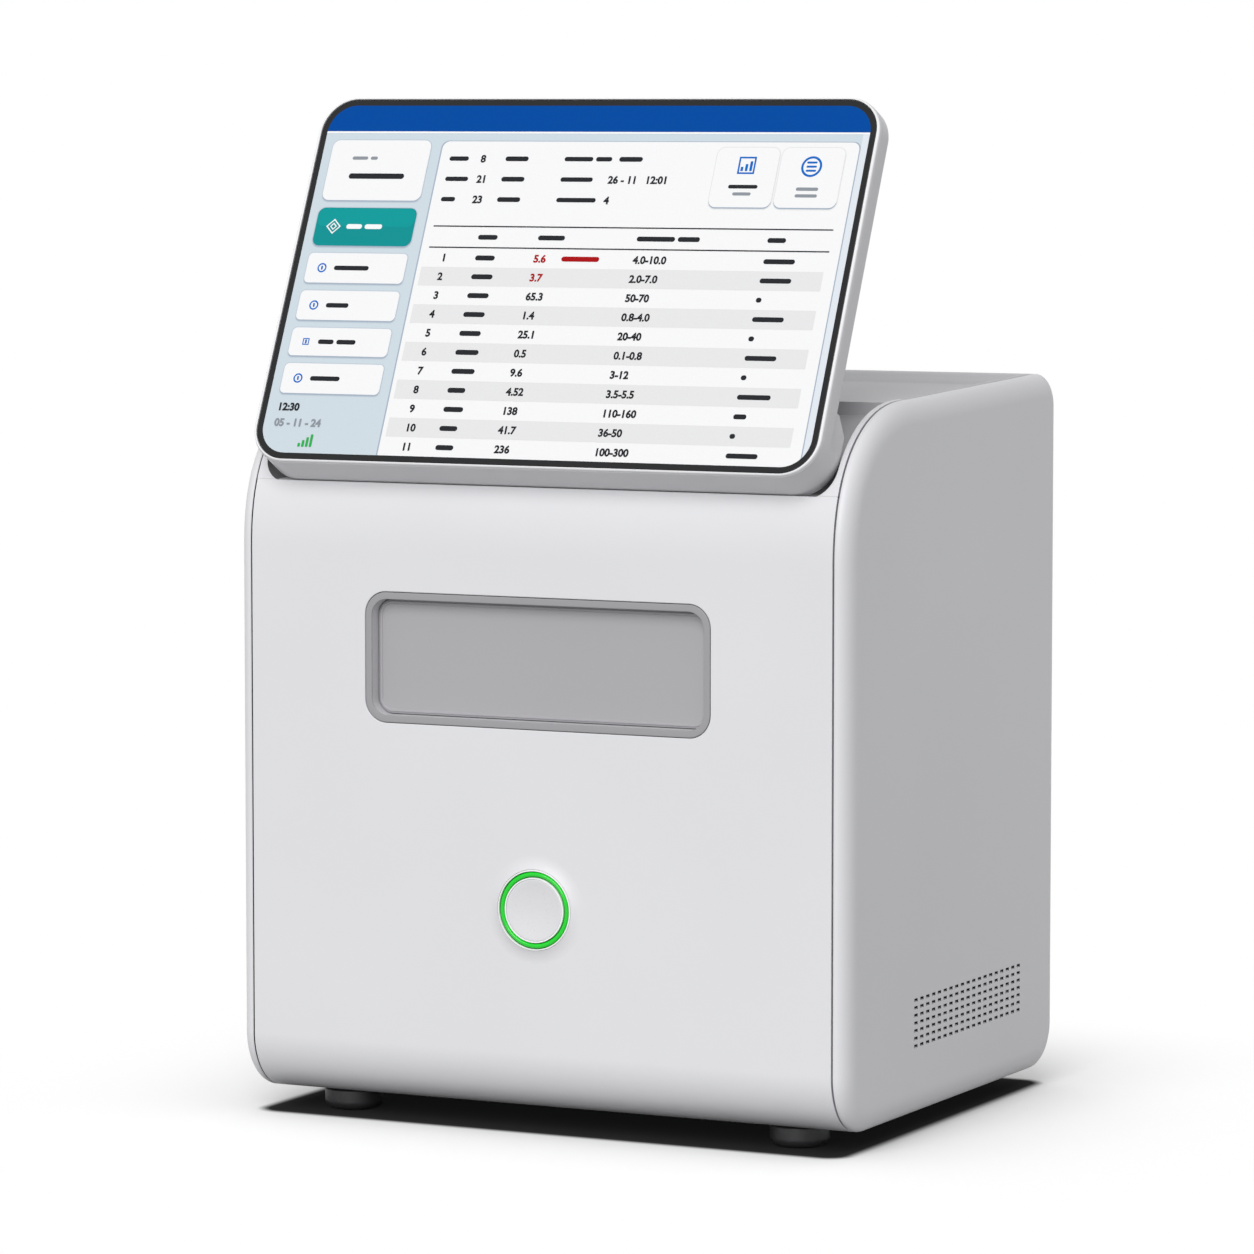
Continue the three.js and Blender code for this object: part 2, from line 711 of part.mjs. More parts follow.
// Touch screen, drawn in its own axes: X across, Y back from the glass, Z up the glass,
// with the hinge axis at the origin
function screenUnit() {
  const s = screen;
  const unit = new THREE.Group();
  unit.position.set(0, s.pivotY, s.pivotZ);
  unit.rotation.x = -tilt;
  model.add(unit);
  const back = (distance) => distance - s.pivotBehindGlass;
  const up = (distance) => distance - s.pivotAboveEdge;
  const centreZ = up(s.height / 2);
  const rimSpan = [-s.rimBelow, s.height + s.rimBelow];
  const rimWidth = 2 * (s.halfWidth + s.rim);
  const rimOutline = roundedRect([0, centreZ], rimWidth, rimSpan[1] - rimSpan[0], s.cornerRadius + s.rim);
  const level = (distance, at) => ({ outline: insetOutline(rimOutline, distance), at: back(at) });
  const slab = loft(
    [
      level(0, 0),
      level(0, s.thickness - s.backRounding),
      level(s.backRounding * (1 - Math.SQRT1_2), s.thickness - s.backRounding * (1 - Math.SQRT1_2)),
      level(s.backRounding, s.thickness),
    ],
    (x, z, y) => [x, y, z],
  );
  const chinSide = [
    [back(s.glass), -s.chinReach - overrun],
    [back(s.chinThickness), -s.chinReach - overrun],
    [back(s.chinThickness), up(s.chinTop)],
    [back(s.thickness), up(s.shoulderTop)],
    [back(s.glass), up(s.shoulderTop)],
  ];
  const chin = prism("x", chinSide, wideSpan).intersect(loft(chinLevels(), (x, z, y) => [x, y, z]));
  const seat = roundedRect([0, centreZ], 2 * (s.halfWidth + gap), s.height + 2 * gap, s.cornerRadius + gap);
  const panelBack = s.glass + gap + s.panel + 2 * gap;
  const across = s.halfWidth - s.border;
  const notch = about(0, hinge.knuckleWidth + 2 * hinge.notchClearance);
  const board = screenBoard;
  const tools = [
    prism("y", seat, [back(-overrun), back(s.glass + gap)]),
    block(
      [-across - gap, across + gap],
      [back(0), back(panelBack)],
      [up(s.border - gap), up(s.height - s.border + gap)],
    ),
    block(
      [-board.halfWidth, board.halfWidth],
      [back(0), back(panelBack + board.depth)],
      [up(board.lowEdge), up(board.highEdge)],
    ),
    block(
      [-s.chinCavityHalf, s.chinCavityHalf],
      [back(0), back(s.chinThickness - body.wall)],
      [up(s.border), up(s.chinTop - body.wall)],
    ),
  ];
  const pinHole = notch[1] - notch[0] + 2 * (hinge.pinEngagement + gap);
  for (const side of [-1, 1]) {
    const x = side * hinge.x;
    tools.push(
      block(
        [x + notch[0], x + notch[1]],
        [back(hinge.notchDepth), back(s.chinThickness + overrun)],
        [up(body.wall - s.rimBelow), up(s.chinTop + body.wall)],
      ),
      rod("x", hinge.pinRadius + gap, about(x, pinHole), [0, 0]),
    );
  }
  piece("screen_housing", cut(join(slab, chin), ...tools), looks.silver, unit);
  const glassOutline = roundedRect([0, centreZ], 2 * s.halfWidth, s.height, s.cornerRadius);
  piece("screen_glass", prism("y", glassOutline, [back(0), back(s.glass)]), looks.glass, unit);
  const panelFront = s.glass + gap;
  piece(
    "display_panel",
    block(
      [-across, across],
      [back(panelFront), back(panelFront + s.panel)],
      [up(s.border), up(s.height - s.border)],
    ),
    looks.display,
    unit,
  );
  const boardFront = panelFront + s.panel + gap;
  piece(
    "screen_board",
    block(
      [-board.halfWidth + gap, board.halfWidth - gap],
      [back(boardFront), back(boardFront + board.depth)],
      [up(board.lowEdge + gap), up(board.highEdge - gap)],
    ),
    looks.board,
    unit,
  );
  for (const side of [-1, 1]) {
    const span = about(side * hinge.x, notch[1] - notch[0] + 2 * hinge.pinEngagement);
    const name = `screen_hinge_pin_${side < 0 ? "left" : "right"}`;
    piece(name, rod("x", hinge.pinRadius, span, [0, 0]), looks.bright, unit);
  }
}

// Hinge brackets stand on the beam and reach into the screen's notches
function hingeParts() {
  const beamTop = hingeBeam.bottomZ + hingeBeam.height;
  const beamSpan = [hingeBeam.frontY, hingeBeam.frontY + hingeBeam.depth];
  const footY = about(hingeBeam.frontY + hingeBeam.depth / 2, hinge.footDepth);
  for (const side of [-1, 1]) {
    const xs = about(side * hinge.x, hinge.knuckleWidth);
    const bore = rod(
      "x",
      hinge.pinRadius + gap,
      about(side * hinge.x, hinge.knuckleWidth + 2 * overrun),
      [screen.pivotY, screen.pivotZ],
    );
    const knuckle = rod("x", hinge.knuckleRadius, xs, [screen.pivotY, screen.pivotZ]);
    const below = block(
      about(side * hinge.x, hinge.knuckleWidth + 2 * overrun),
      [0, body.depth],
      [0, beamTop + gap],
    );
    const bracketFoot = block(xs, footY, [beamTop + gap, beamTop + gap + hinge.footThickness]);
    const bracket = cut(join(knuckle, prism("x", armTool(0, 0), xs), bracketFoot), bore, below);
    piece(`hinge_bracket_${side < 0 ? "left" : "right"}`, bracket, looks.steel);
  }
  const reach = chassisX - gap;
  piece("hinge_beam", block([-reach, reach], beamSpan, [hingeBeam.bottomZ, beamTop]), looks.steel);
}

// Inner frame: two side plates with lightening windows, and the deck that carries the drawer
function innerFrame() {
  const c = chassis;
  const bottom = body.underside + body.wall + basePlate.thickness + 2 * gap;
  const windowsLength = frameBackY - c.frontY - 2 * c.windowMargin;
  const windowPitch = (windowsLength + c.windowRib) / c.windows;
  const windowLength = windowPitch - c.windowRib;
  for (const side of [-1, 1]) {
    const xs = [side * chassisX, side * (chassisX + c.thickness)].sort((a, b) => a - b);
    const wide = [xs[0] - overrun, xs[1] + overrun];
    const windows = Array.from({ length: c.windows }, (_, k) => {
      const centre = [c.frontY + c.windowMargin + windowLength / 2 + k * windowPitch, c.windowZ];
      return prism("x", roundedRect(centre, windowLength, c.windowHeight, c.windowRadius), wide);
    });
    const plate = block(xs, [c.frontY, frameBackY], [bottom, c.topZ]);
    piece(`chassis_${side < 0 ? "left" : "right"}`, cut(plate, ...windows), looks.steel);
  }
  const reach = chassisX - gap;
  const deckSpan = [deck.topZ - deck.thickness, deck.topZ];
  const shaftHole = rod(
    "z",
    gear.shaftRadius + overrun,
    [deckSpan[0] - overrun, deckSpan[1] + overrun],
    [gear.x, gear.y],
    smallSides,
  );
  const deckPlate = block([-reach, reach], [deck.frontY, frameBackY], deckSpan);
  piece("drawer_deck", cut(deckPlate, shaftHole), looks.steel);
}

// Window bezel and the drawer behind it
function windowBezel() {
  const w = windowOpening;
  const b = bezel;
  const ring = roundedRect([0, w.centreZ], w.width + 2 * b.ring, w.height + 2 * b.ring, b.radius);
  const flangeWidth = w.width + 2 * (b.ring + b.flange);
  const flangeHeight = w.height + 2 * (b.ring + b.flange);
  const flange = roundedRect([0, w.centreZ], flangeWidth, flangeHeight, b.radius + b.flange);
  const flangeFront = body.wall + gap;
  const hole = roundedRect([0, w.centreZ], w.width, w.height, w.radius);
  const solid = cut(
    join(prism("y", ring, [0, b.depth]), prism("y", flange, [flangeFront, flangeFront + b.flangeThickness])),
    prism("y", hole, [-overrun, b.depth + overrun]),
  );
  piece("window_bezel", solid, looks.grey);
}

const trayFrontY = drawer.faceInset + drawer.faceThickness + gap;

function drawerUnit() {
  const d = drawer;
  const w = windowOpening;
  const face = roundedRect(
    [0, w.centreZ],
    w.width - 2 * d.clearance,
    w.height - 2 * d.clearance,
    w.radius - d.clearance,
  );
  piece("drawer_front", prism("y", face, [d.faceInset, d.faceInset + d.faceThickness]), looks.grey);
  const trayY = [trayFrontY, trayFrontY + d.trayLength];
  const innerX = trayHalf - d.trayWall;
  const floorTop = d.trayFloorZ + d.trayWall;
  const tray = cut(
    block([-trayHalf, trayHalf], trayY, [d.trayFloorZ, d.trayTopZ]),
    block(
      [-innerX, innerX],
      [trayY[0] + d.trayWall, trayY[1] - d.trayWall],
      [floorTop, d.trayTopZ + overrun],
    ),
  );
  piece("drawer_tray", tray, looks.casing);

  // Reagent cartridges: two blocks with two filling caps each, in the rear half of the tray
  const backY = trayY[1] - d.trayWall - cartridge.backClear;
  const baseZ = floorTop + gap;
  for (const side of [-1, 1]) {
    const xs = [side * cartridge.middleGap, side * (innerX - gap)].sort((a, b) => a - b);
    const centreX = (xs[0] + xs[1]) / 2;
    const quarter = cartridge.length / 4;
    const shell = block(xs, [backY - cartridge.length, backY], [baseZ, baseZ + cartridge.height]);
    const caps = [backY - quarter, backY - 3 * quarter].map((y) =>
      rod(
        "z",
        cartridge.capRadius,
        [baseZ + cartridge.height - overrun, baseZ + cartridge.height + cartridge.capHeight],
        [centreX, y],
        smallSides,
      ),
    );
    piece(`reagent_cartridge_${side < 0 ? "left" : "right"}`, join(shell, ...caps), looks.reagent);
  }

  const runnerTop = d.trayFloorZ - gap;
  const runnerY = [trayFrontY + d.trayWall, trayFrontY + d.trayWall + runner.length];
  const slotTop = runnerTop - runner.height + runner.slotHeight;
  for (const side of [-1, 1]) {
    const x = side * runnerX;
    const channel = cut(
      block(about(x, runner.width), runnerY, [runnerTop - runner.height, runnerTop]),
      block(
        about(x, runner.slotWidth),
        [runnerY[0] - overrun, runnerY[1] + overrun],
        [runnerTop - runner.height - overrun, slotTop],
      ),
    );
    piece(`drawer_runner_${side < 0 ? "left" : "right"}`, channel, looks.bright);
    const barZ = [deck.topZ + gap, slotTop - rail.clearance];
    const bar = block(about(x, rail.width), [deck.frontY, frameBackY], barZ);
    piece(`drawer_rail_${side < 0 ? "left" : "right"}`, bar, looks.bright);
  }
}

// Rack and pinion: straight-flanked teeth with some backlash
function toothProfile(count, pitch) {
  const g = gear;
  return Array.from({ length: count }, (_, k) => [
    { at: (k - g.rootHalfShare) * pitch, level: -g.dedendumShare },
    { at: (k - g.tipHalfShare) * pitch, level: g.addendumShare },
    { at: (k + g.tipHalfShare) * pitch, level: g.addendumShare },
    { at: (k + g.rootHalfShare) * pitch, level: -g.dedendumShare },
  ]).flat();
}

function drawerDrive() {
  const g = gear;
  const pitchRadius = (g.module * g.teeth) / 2;
  const pitch = Math.PI * g.module;
  const wheel = toothProfile(g.teeth, (2 * Math.PI) / g.teeth).map(({ at, level }) => {
    const radius = pitchRadius + level * g.module;
    return [g.x + radius * Math.cos(at), g.y + radius * Math.sin(at)];
  });
  const top = g.baseZ + g.face;
  const shaftBottom = deck.topZ - deck.thickness - drawerMotor.shaftDepth;
  const pinion = join(
    prism("z", wheel, [g.baseZ, top]),
    rod("z", g.shaftRadius, [shaftBottom, g.baseZ + overrun], [g.x, g.y], smallSides),
  );
  piece("drawer_pinion", pinion, looks.brass);

  const rackX = g.x + pitchRadius;
  const rackY = [g.y - rack.margin, g.y + drawer.travel + rack.margin];
  const teethBelow = Math.floor((g.y - rackY[0]) / pitch - g.rootHalfShare) + 1;
  const teethAbove = Math.floor((rackY[1] - g.y) / pitch - g.rootHalfShare);
  const start = g.y - (teethBelow - 0.5) * pitch;
  const teeth = toothProfile(teethBelow + teethAbove, pitch).map(({ at, level }) => [
    rackX - level * g.module,
    start + at,
  ]);
  const bar = [
    [rackX + rack.width, rackY[0]],
    [rackX + rack.width, rackY[1]],
    [rackX + g.dedendumShare * g.module, rackY[1]],
    ...teeth.reverse(),
    [rackX + g.dedendumShare * g.module, rackY[0]],
  ];
  const rackZ = [drawer.trayFloorZ - gap - runner.height + gap, drawer.trayFloorZ - gap];
  piece("drawer_rack", prism("z", bar, rackZ), looks.brass);

  const motor = drawerMotor;
  const motorTop = deck.topZ - deck.thickness - gap;
  const shell = cut(
    block(about(g.x, motor.size), about(g.y, motor.size), [motorTop - motor.height, motorTop]),
    rod("z", g.shaftRadius + gap, [shaftBottom - gap, motorTop + overrun], [g.x, g.y], smallSides),
  );
  piece("drawer_motor", shell, looks.black);
}

// Push button: bezel through the front cover, light ring on it, cap with its stem in the switch
function pushButton() {
  const b = button;
  const bezelProfile = [
    [b.boreRadius, b.sleeveDepth],
    [b.boreRadius, -b.proud],
    [b.ringInner, -b.proud],
    [b.ringInner, -b.ringFloor],
    [b.ringOuter, -b.ringFloor],
    [b.ringOuter, -b.proud],
    [b.radius, -b.proud],
    [b.radius, -gap],
    [b.sleeveRadius, -gap],
    [b.sleeveRadius, b.sleeveDepth],
    [b.boreRadius, b.sleeveDepth],
  ];
  piece("button_bezel", turned(bezelProfile, "y", [0, 0, b.z]), looks.casing);
  const ringProfile = [
    [b.ringInner + gap, -b.ringFloor - gap],
    [b.ringInner + gap, -b.proud - gap],
    [b.ringOuter - gap, -b.proud - gap],
    [b.ringOuter - gap, -b.ringFloor - gap],
    [b.ringInner + gap, -b.ringFloor - gap],
  ];
  piece("button_light_ring", turned(ringProfile, "y", [0, 0, b.z]), looks.light);
  const capRadius = b.boreRadius - gap;
  const capBack = b.capThickness - b.capProud;
  const capProfile = [
    [0, b.capHollow - b.capProud],
    [capRadius / 2, b.capHollow * 0.75 - b.capProud],
    [capRadius, -b.capProud],
    [capRadius, capBack],
    [b.stemRadius, capBack],
    [b.stemRadius, b.stemEnd],
    [0, b.stemEnd],
  ];
  piece("button_cap", turned(capProfile, "y", [0, 0, b.z]), looks.casing);
  const front = b.sleeveDepth + gap;
  const shell = cut(
    block(about(0, b.switchSize), [front, front + b.switchDepth], about(b.z, b.switchSize)),
    rod("y", b.stemRadius + gap, [front - overrun, b.stemEnd + b.switchDepth / 4], [0, b.z], smallSides),
  );
  piece("button_switch", shell, looks.black);
}

// Sampling gantry over the drawer
function samplingGantry() {
  const g = gantry;
  const reach = chassisX - gap;
  const span = [-reach, reach];
  piece("gantry_rod_upper", rod("x", g.rodRadius, span, [g.y, g.upperZ], smallSides), looks.bright);
  piece("gantry_rod_lower", rod("x", g.rodRadius, span, [g.y, g.lowerZ], smallSides), looks.bright);
  const carriageX = [-g.carriageHalf, g.carriageHalf];
  const carriageY = about(g.y, g.carriageDepth);
  const carriageZ = [g.lowerZ - g.carriageMargin, g.upperZ + g.carriageMargin];
  const through = [carriageX[0] - overrun, carriageX[1] + overrun];
  const upperRun = belt.z + belt.pulleyRadius + gap;
  const jawY = [carriageY[1] - overrun, belt.y + belt.width / 2 + overrun];
  const jawZ = [upperRun - belt.jaw, upperRun + belt.thickness + belt.jaw];
  const carriage = cut(
    join(block(carriageX, carriageY, carriageZ), block(carriageX, jawY, jawZ)),
    rod("x", g.rodRadius + gap, through, [g.y, g.upperZ], smallSides),
    rod("x", g.rodRadius + gap, through, [g.y, g.lowerZ], smallSides),
    block(
      through,
      [belt.y - belt.width / 2 - gap, jawY[1] + overrun],
      [upperRun - gap, upperRun + belt.thickness + gap],
    ),
  );
  piece("pipette_carriage", carriage, looks.black);
  const lift = liftMotor;
  const liftZ = [carriageZ[1] + gap, carriageZ[1] + gap + lift.height];
  const liftY = [carriageY[0] + lift.inset, carriageY[1] - lift.inset];
  piece("lift_motor", block([-lift.halfWidth, lift.halfWidth], liftY, liftZ), looks.steel);
  const headY = [carriageY[0] - gap - head.depth, carriageY[0] - gap];
  const headX = [-head.halfWidth, head.halfWidth];
  const headZ = [head.bottomZ, head.bottomZ + head.height];
  piece("pipette_head", block(headX, headY, headZ), looks.reagent);
  const needleTop = head.bottomZ - gap;
  const needleAt = [0, (headY[0] + headY[1]) / 2];
  const needleZ = [needleTop - head.needleLength, needleTop];
  piece("pipette_needle", rod("z", head.needleRadius, needleZ, needleAt, smallSides), looks.bright);
}

// A closed loop between two round ends, as an outline in X and Z
function loopOutline(radius) {
  const radii = [radius, radius];
  return [
    ...arc([pulleyX, belt.z], radii, -90, 90, 2 * arcSteps),
    ...arc([-pulleyX, belt.z], radii, 90, 270, 2 * arcSteps),
  ];
}

function beltDrive() {
  const b = belt;
  const across = about(b.y, b.width);
  const inner = b.pulleyRadius + gap;
  const loop = cut(
    prism("y", loopOutline(inner + b.thickness), across),
    prism("y", loopOutline(inner), [across[0] - overrun, across[1] + overrun]),
  );
  piece("carriage_belt", loop, looks.black);
  const motor = beltMotor;
  const motorX = [chassisX - gap - motor.width, chassisX - gap];
  const motorY = [across[1] + motor.clearance, across[1] + motor.clearance + motor.depth];
  const shaftEnd = motorY[0] + motor.clearance;
  const drive = join(
    rod("y", b.pulleyRadius, across, [pulleyX, b.z], smallSides),
    rod("y", b.shaftRadius, [across[1] - overrun, shaftEnd], [pulleyX, b.z], smallSides),
  );
  piece("belt_drive_pulley", drive, looks.bright);
  const motorSolid = cut(
    block(motorX, motorY, about(b.z, motor.depth)),
    rod("y", b.shaftRadius + gap, [motorY[0] - overrun, shaftEnd + gap], [pulleyX, b.z], smallSides),
  );
  piece("belt_motor", motorSolid, looks.black);
  const idlerBore = rod(
    "y",
    b.shaftRadius + gap,
    [across[0] - overrun, across[1] + overrun],
    [-pulleyX, b.z],
    smallSides,
  );
  const idler = rod("y", b.pulleyRadius, across, [-pulleyX, b.z], smallSides);
  piece("belt_idler_pulley", cut(idler, idlerBore), looks.bright);
  const bracketBlock = block(
    [gap - chassisX, motor.width - chassisX],
    [motorY[0], motorY[0] + 4 * motor.clearance],
    about(b.z, 2 * motor.clearance + 2 * b.pulleyRadius),
  );
  const pin = rod("y", b.shaftRadius, [across[0], motorY[0] + overrun], [-pulleyX, b.z], smallSides);
  piece("idler_bracket", join(bracketBlock, pin), looks.steel);
}

// Optics over the front half of the drawer
function opticsUnit() {
  const o = optics;
  const reach = chassisX - gap;
  const ys = [o.frontY, o.frontY + o.depth];
  const y = (ys[0] + ys[1]) / 2;
  piece("optics_bridge", block([-reach, reach], ys, [o.bottomZ, o.bottomZ + o.thickness]), looks.steel);
  const top = o.bottomZ - gap;
  const profile = [
    [0, top - o.length],
    [o.radius / 2, top - o.length],
    [o.radius, top - o.length * 0.75],
    [o.radius, top],
    [0, top],
  ];
  piece("optics_objective", turned(profile, "z", [0, y, 0]), looks.black);
  const camera = opticsCamera;
  const bottom = o.bottomZ + o.thickness + gap;
  piece(
    "optics_camera",
    block(about(0, camera.width), about(y, camera.depth), [bottom, bottom + camera.height]),
    looks.black,
  );
}

// Electronics, fan and rear connectors
function electronics() {
  const floor = body.underside + body.wall + basePlate.thickness + 2 * gap;
  const supply = powerSupply;
  const supplyLeft = supply.sideRoom - chassisX;
  const supplyY = [bottle.y + bottle.radius + supply.frontRoom, body.depth - supply.rearRoom];
  const supplySolid = block([supplyLeft, supplyLeft + supply.width], supplyY, [floor, floor + supply.height]);
  piece("power_supply", supplySolid, looks.steel);
  const profile = [
    [0, floor],
    [bottle.radius, floor],
    [bottle.radius, floor + bottle.height],
    [bottle.neckRadius + bottle.shoulder / 4, floor + bottle.height + bottle.shoulder],
    [bottle.neckRadius, floor + bottle.height + bottle.shoulder],
    [bottle.neckRadius, floor + bottle.height + bottle.shoulder + bottle.neckHeight],
    [0, floor + bottle.height + bottle.shoulder + bottle.neckHeight],
  ];
  piece("reagent_bottle", turned(profile, "z", [bottle.sideRoom - chassisX, bottle.y, 0]), looks.reagent);

  const board = mainBoard;
  const wallX = chassisX - gap;
  const boardX = [wallX - board.standoff - board.thickness, wallX - board.standoff];
  const boardY = [board.frontY, frameBackY - gap];
  const boardZ = [board.bottomZ, board.bottomZ + board.height];
  const postRadius = board.standoff;
  const posts = [];
  for (const y of [boardY[0] + 2 * postRadius, boardY[1] - 2 * postRadius]) {
    for (const z of [boardZ[0] + 2 * postRadius, boardZ[1] - 2 * postRadius]) {
      posts.push(rod("x", postRadius, [boardX[0], wallX], [y, z], smallSides / 2));
    }
  }
  const chips = [1, 2, 3].map((k) => {
    const y = boardY[0] + (k * (boardY[1] - boardY[0])) / 4;
    const z = (boardZ[0] + boardZ[1]) / 2;
    return block([boardX[0] - board.chip, boardX[1]], about(y, board.chipSize), about(z, board.chipSize));
  });
  piece("main_board", join(block(boardX, boardY, boardZ), ...posts, ...chips), looks.board);
}

function coolingFan() {
  const f = fan;
  const back = body.depth - body.wall - gap;
  const front = back - f.depth;
  const place = [f.x, f.z];
  const hubBack = back - f.strutDepth;
  const duct = cut(
    block(about(f.x, f.size), [front, back], about(f.z, f.size)),
    rod("y", f.bore, [front - overrun, back + overrun], place),
  );
  const spokes = Array.from({ length: f.struts }, (_, k) => {
    const angle = (2 * Math.PI * k) / f.struts;
    const geometry = new THREE.BoxGeometry(f.bore + overrun, f.strutDepth, f.strutWidth);
    geometry.translate((f.bore + overrun) / 2, 0, 0);
    geometry.rotateY(angle);
    geometry.translate(f.x, back - f.strutDepth / 2, f.z);
    return toSolid(geometry);
  });
  const hub = rod("y", f.hubRadius, [hubBack, back], place, smallSides);
  const axle = rod("y", f.axleRadius, [hubBack - f.hubDepth + 2 * gap, hubBack + overrun], place, smallSides);
  piece("fan_frame", join(duct, ...spokes, hub, axle), looks.black);

  const rotorY = [hubBack - gap - f.hubDepth, hubBack - gap];
  const rotorHub = rod("y", f.hubRadius, rotorY, place, smallSides);
  const blades = Array.from({ length: f.blades }, (_, k) => {
    const length = f.bladeRadius - f.hubRadius + overrun;
    const geometry = new THREE.BoxGeometry(length, f.hubDepth, f.bladeThickness);
    geometry.rotateX(THREE.MathUtils.degToRad(f.bladePitchDeg));
    geometry.translate(f.hubRadius - overrun + length / 2, 0, 0);
    geometry.rotateY((2 * Math.PI * k) / f.blades);
    geometry.translate(f.x, (rotorY[0] + rotorY[1]) / 2, f.z);
    return toSolid(geometry);
  });
  const bore = rod("y", f.axleRadius + gap, [rotorY[0] + 2 * gap, rotorY[1] + overrun], place, smallSides);
  const room = block(about(f.x, f.size), rotorY, about(f.z, f.size));
  piece("fan_rotor", cut(join(rotorHub, ...blades).intersect(room), bore), looks.black);
}

function rearConnectors() {
  const n = inlet;
  const back = body.depth + gap;
  const outer = back + n.flange;
  const shell = block(about(inletX, n.width), [back - n.depth, back + overrun], about(n.z, n.height));
  const plate = block(about(inletX, n.width + 2 * n.lip), [back, outer], about(n.z, n.height + 2 * n.lip));
  const mouth = block(
    about(inletX, socket.width),
    [outer - socket.depth, outer + overrun],
    about(n.z + socket.z, socket.height),
  );
  const well = block(
    about(inletX, rocker.width + 2 * rocker.clearance),
    [outer - rocker.depth, outer + overrun],
    about(n.z + rocker.z, rocker.height + 2 * rocker.clearance),
  );
  const pivotY = outer - rocker.pivotDepth;
  const pinSpan = about(inletX, rocker.width + 5 * rocker.clearance);
  const holes = rod("x", rocker.pinRadius + gap, pinSpan, [pivotY, n.z + rocker.z], smallSides);
  const blades = [-1, 0, 1].map((k) => {
    const x = inletX + k * socket.pitch;
    const z = n.z + socket.z + (k === 0 ? socket.bladeWidth : -socket.bladeWidth / 2);
    const ys = [outer - socket.depth - overrun, outer - socket.depth + socket.bladeLength];
    return block(about(x, socket.bladeWidth), ys, about(z, socket.bladeHeight));
  });
  piece("power_inlet", join(cut(join(shell, plate), mouth, well, holes), ...blades), looks.black);

  // Rocker, drawn about its own pivot and turned to its rest angle
  const rockerGroup = new THREE.Group();
  rockerGroup.position.set(inletX, pivotY, n.z + rocker.z);
  model.add(rockerGroup);
  const proud = rocker.pivotDepth - rocker.clearance;
  const lean = Math.tan(THREE.MathUtils.degToRad(rocker.swingDeg / 2)) * (rocker.height / 2);
  const side = [
    [-rocker.pivotDepth, -rocker.height / 4],
    [proud - lean, rocker.clearance - rocker.height / 2],
    [proud - lean * 1.5, 0],
    [proud, rocker.height / 2 - rocker.clearance],
    [-rocker.pivotDepth, rocker.height / 4],
  ];
  const key = prism("x", side, about(0, rocker.width));
  const pins = rod("x", rocker.pinRadius, about(0, rocker.width + 4 * rocker.clearance), [0, 0], smallSides);
  piece("power_rocker", join(key, pins), looks.black, rockerGroup);

  const ioY = [frameBackY + gap, frameBackY + io.depth + gap];
  const ports = io.height / 4;
  const port = (k, width, height) => {
    const z = io.bottomZ + ports * (k + 0.5);
    return block(about(ioX, width), [ioY[1] - io.depth / 2, ioY[1] + overrun], about(z, height));
  };
  const ioSolid = cut(
    block(about(ioX, io.width), ioY, [io.bottomZ, io.bottomZ + io.height]),
    port(0, io.usbWidth, io.lanHeight),
    port(1, io.usbWidth, io.usbHeight),
    port(2, io.usbWidth, io.usbHeight),
    port(3, io.usbWidth, io.lanHeight),
  );
  piece("io_block", ioSolid, looks.steel);
}

casing();
feet();
screenUnit();
hingeParts();
innerFrame();
windowBezel();
drawerUnit();
drawerDrive();
pushButton();
samplingGantry();
beltDrive();
opticsUnit();
electronics();
coolingFan();
rearConnectors();

// Origin in the middle of the footprint: the screen's lower rim reaches furthest forward and
// the power inlet's flange furthest back
const foremost =
  screen.pivotY -
  screen.pivotBehindGlass * Math.cos(tilt) -
  (screen.pivotAboveEdge + screen.rimBelow) * Math.sin(tilt);
const rearmost = body.depth + gap + inlet.flange;
model.position.y = -(foremost + rearmost) / 2;

const group = new THREE.Group();
group.add(model);

export default group;
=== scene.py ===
"""Blood analyzer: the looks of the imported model.

Sizes are in millimetres in the part's own frame: X to the right, Y from the front face towards
the back, Z up from the table. They become metres in the row frame where a vertex is made.
"""

import math
from types import SimpleNamespace as Sizes

import bmesh
import bpy
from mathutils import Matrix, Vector

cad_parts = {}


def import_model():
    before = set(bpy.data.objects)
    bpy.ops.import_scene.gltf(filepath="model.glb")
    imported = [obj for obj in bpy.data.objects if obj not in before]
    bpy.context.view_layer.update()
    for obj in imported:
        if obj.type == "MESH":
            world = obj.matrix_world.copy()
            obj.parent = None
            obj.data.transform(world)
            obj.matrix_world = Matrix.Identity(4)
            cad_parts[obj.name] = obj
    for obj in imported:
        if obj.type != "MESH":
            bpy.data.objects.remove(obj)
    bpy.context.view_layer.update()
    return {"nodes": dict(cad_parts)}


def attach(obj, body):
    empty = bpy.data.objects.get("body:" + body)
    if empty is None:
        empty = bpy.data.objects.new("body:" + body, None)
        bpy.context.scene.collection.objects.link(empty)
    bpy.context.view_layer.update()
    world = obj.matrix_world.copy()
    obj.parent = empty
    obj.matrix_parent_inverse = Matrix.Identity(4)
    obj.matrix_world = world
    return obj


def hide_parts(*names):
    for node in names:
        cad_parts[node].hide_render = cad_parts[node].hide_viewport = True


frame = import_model()

MM = 0.001
middle_y = 129.5345  # the row frame's origin, measured from the front face
gap = 0.3  # between two pieces
hair = gap / 10
overrun = 1  # how far a cutting solid reaches past what it cuts
bend_share = 0.3  # how far along a small rounded edge its middle point lies
pill_share = 0.49  # the end radius of a slot, as a share of its height

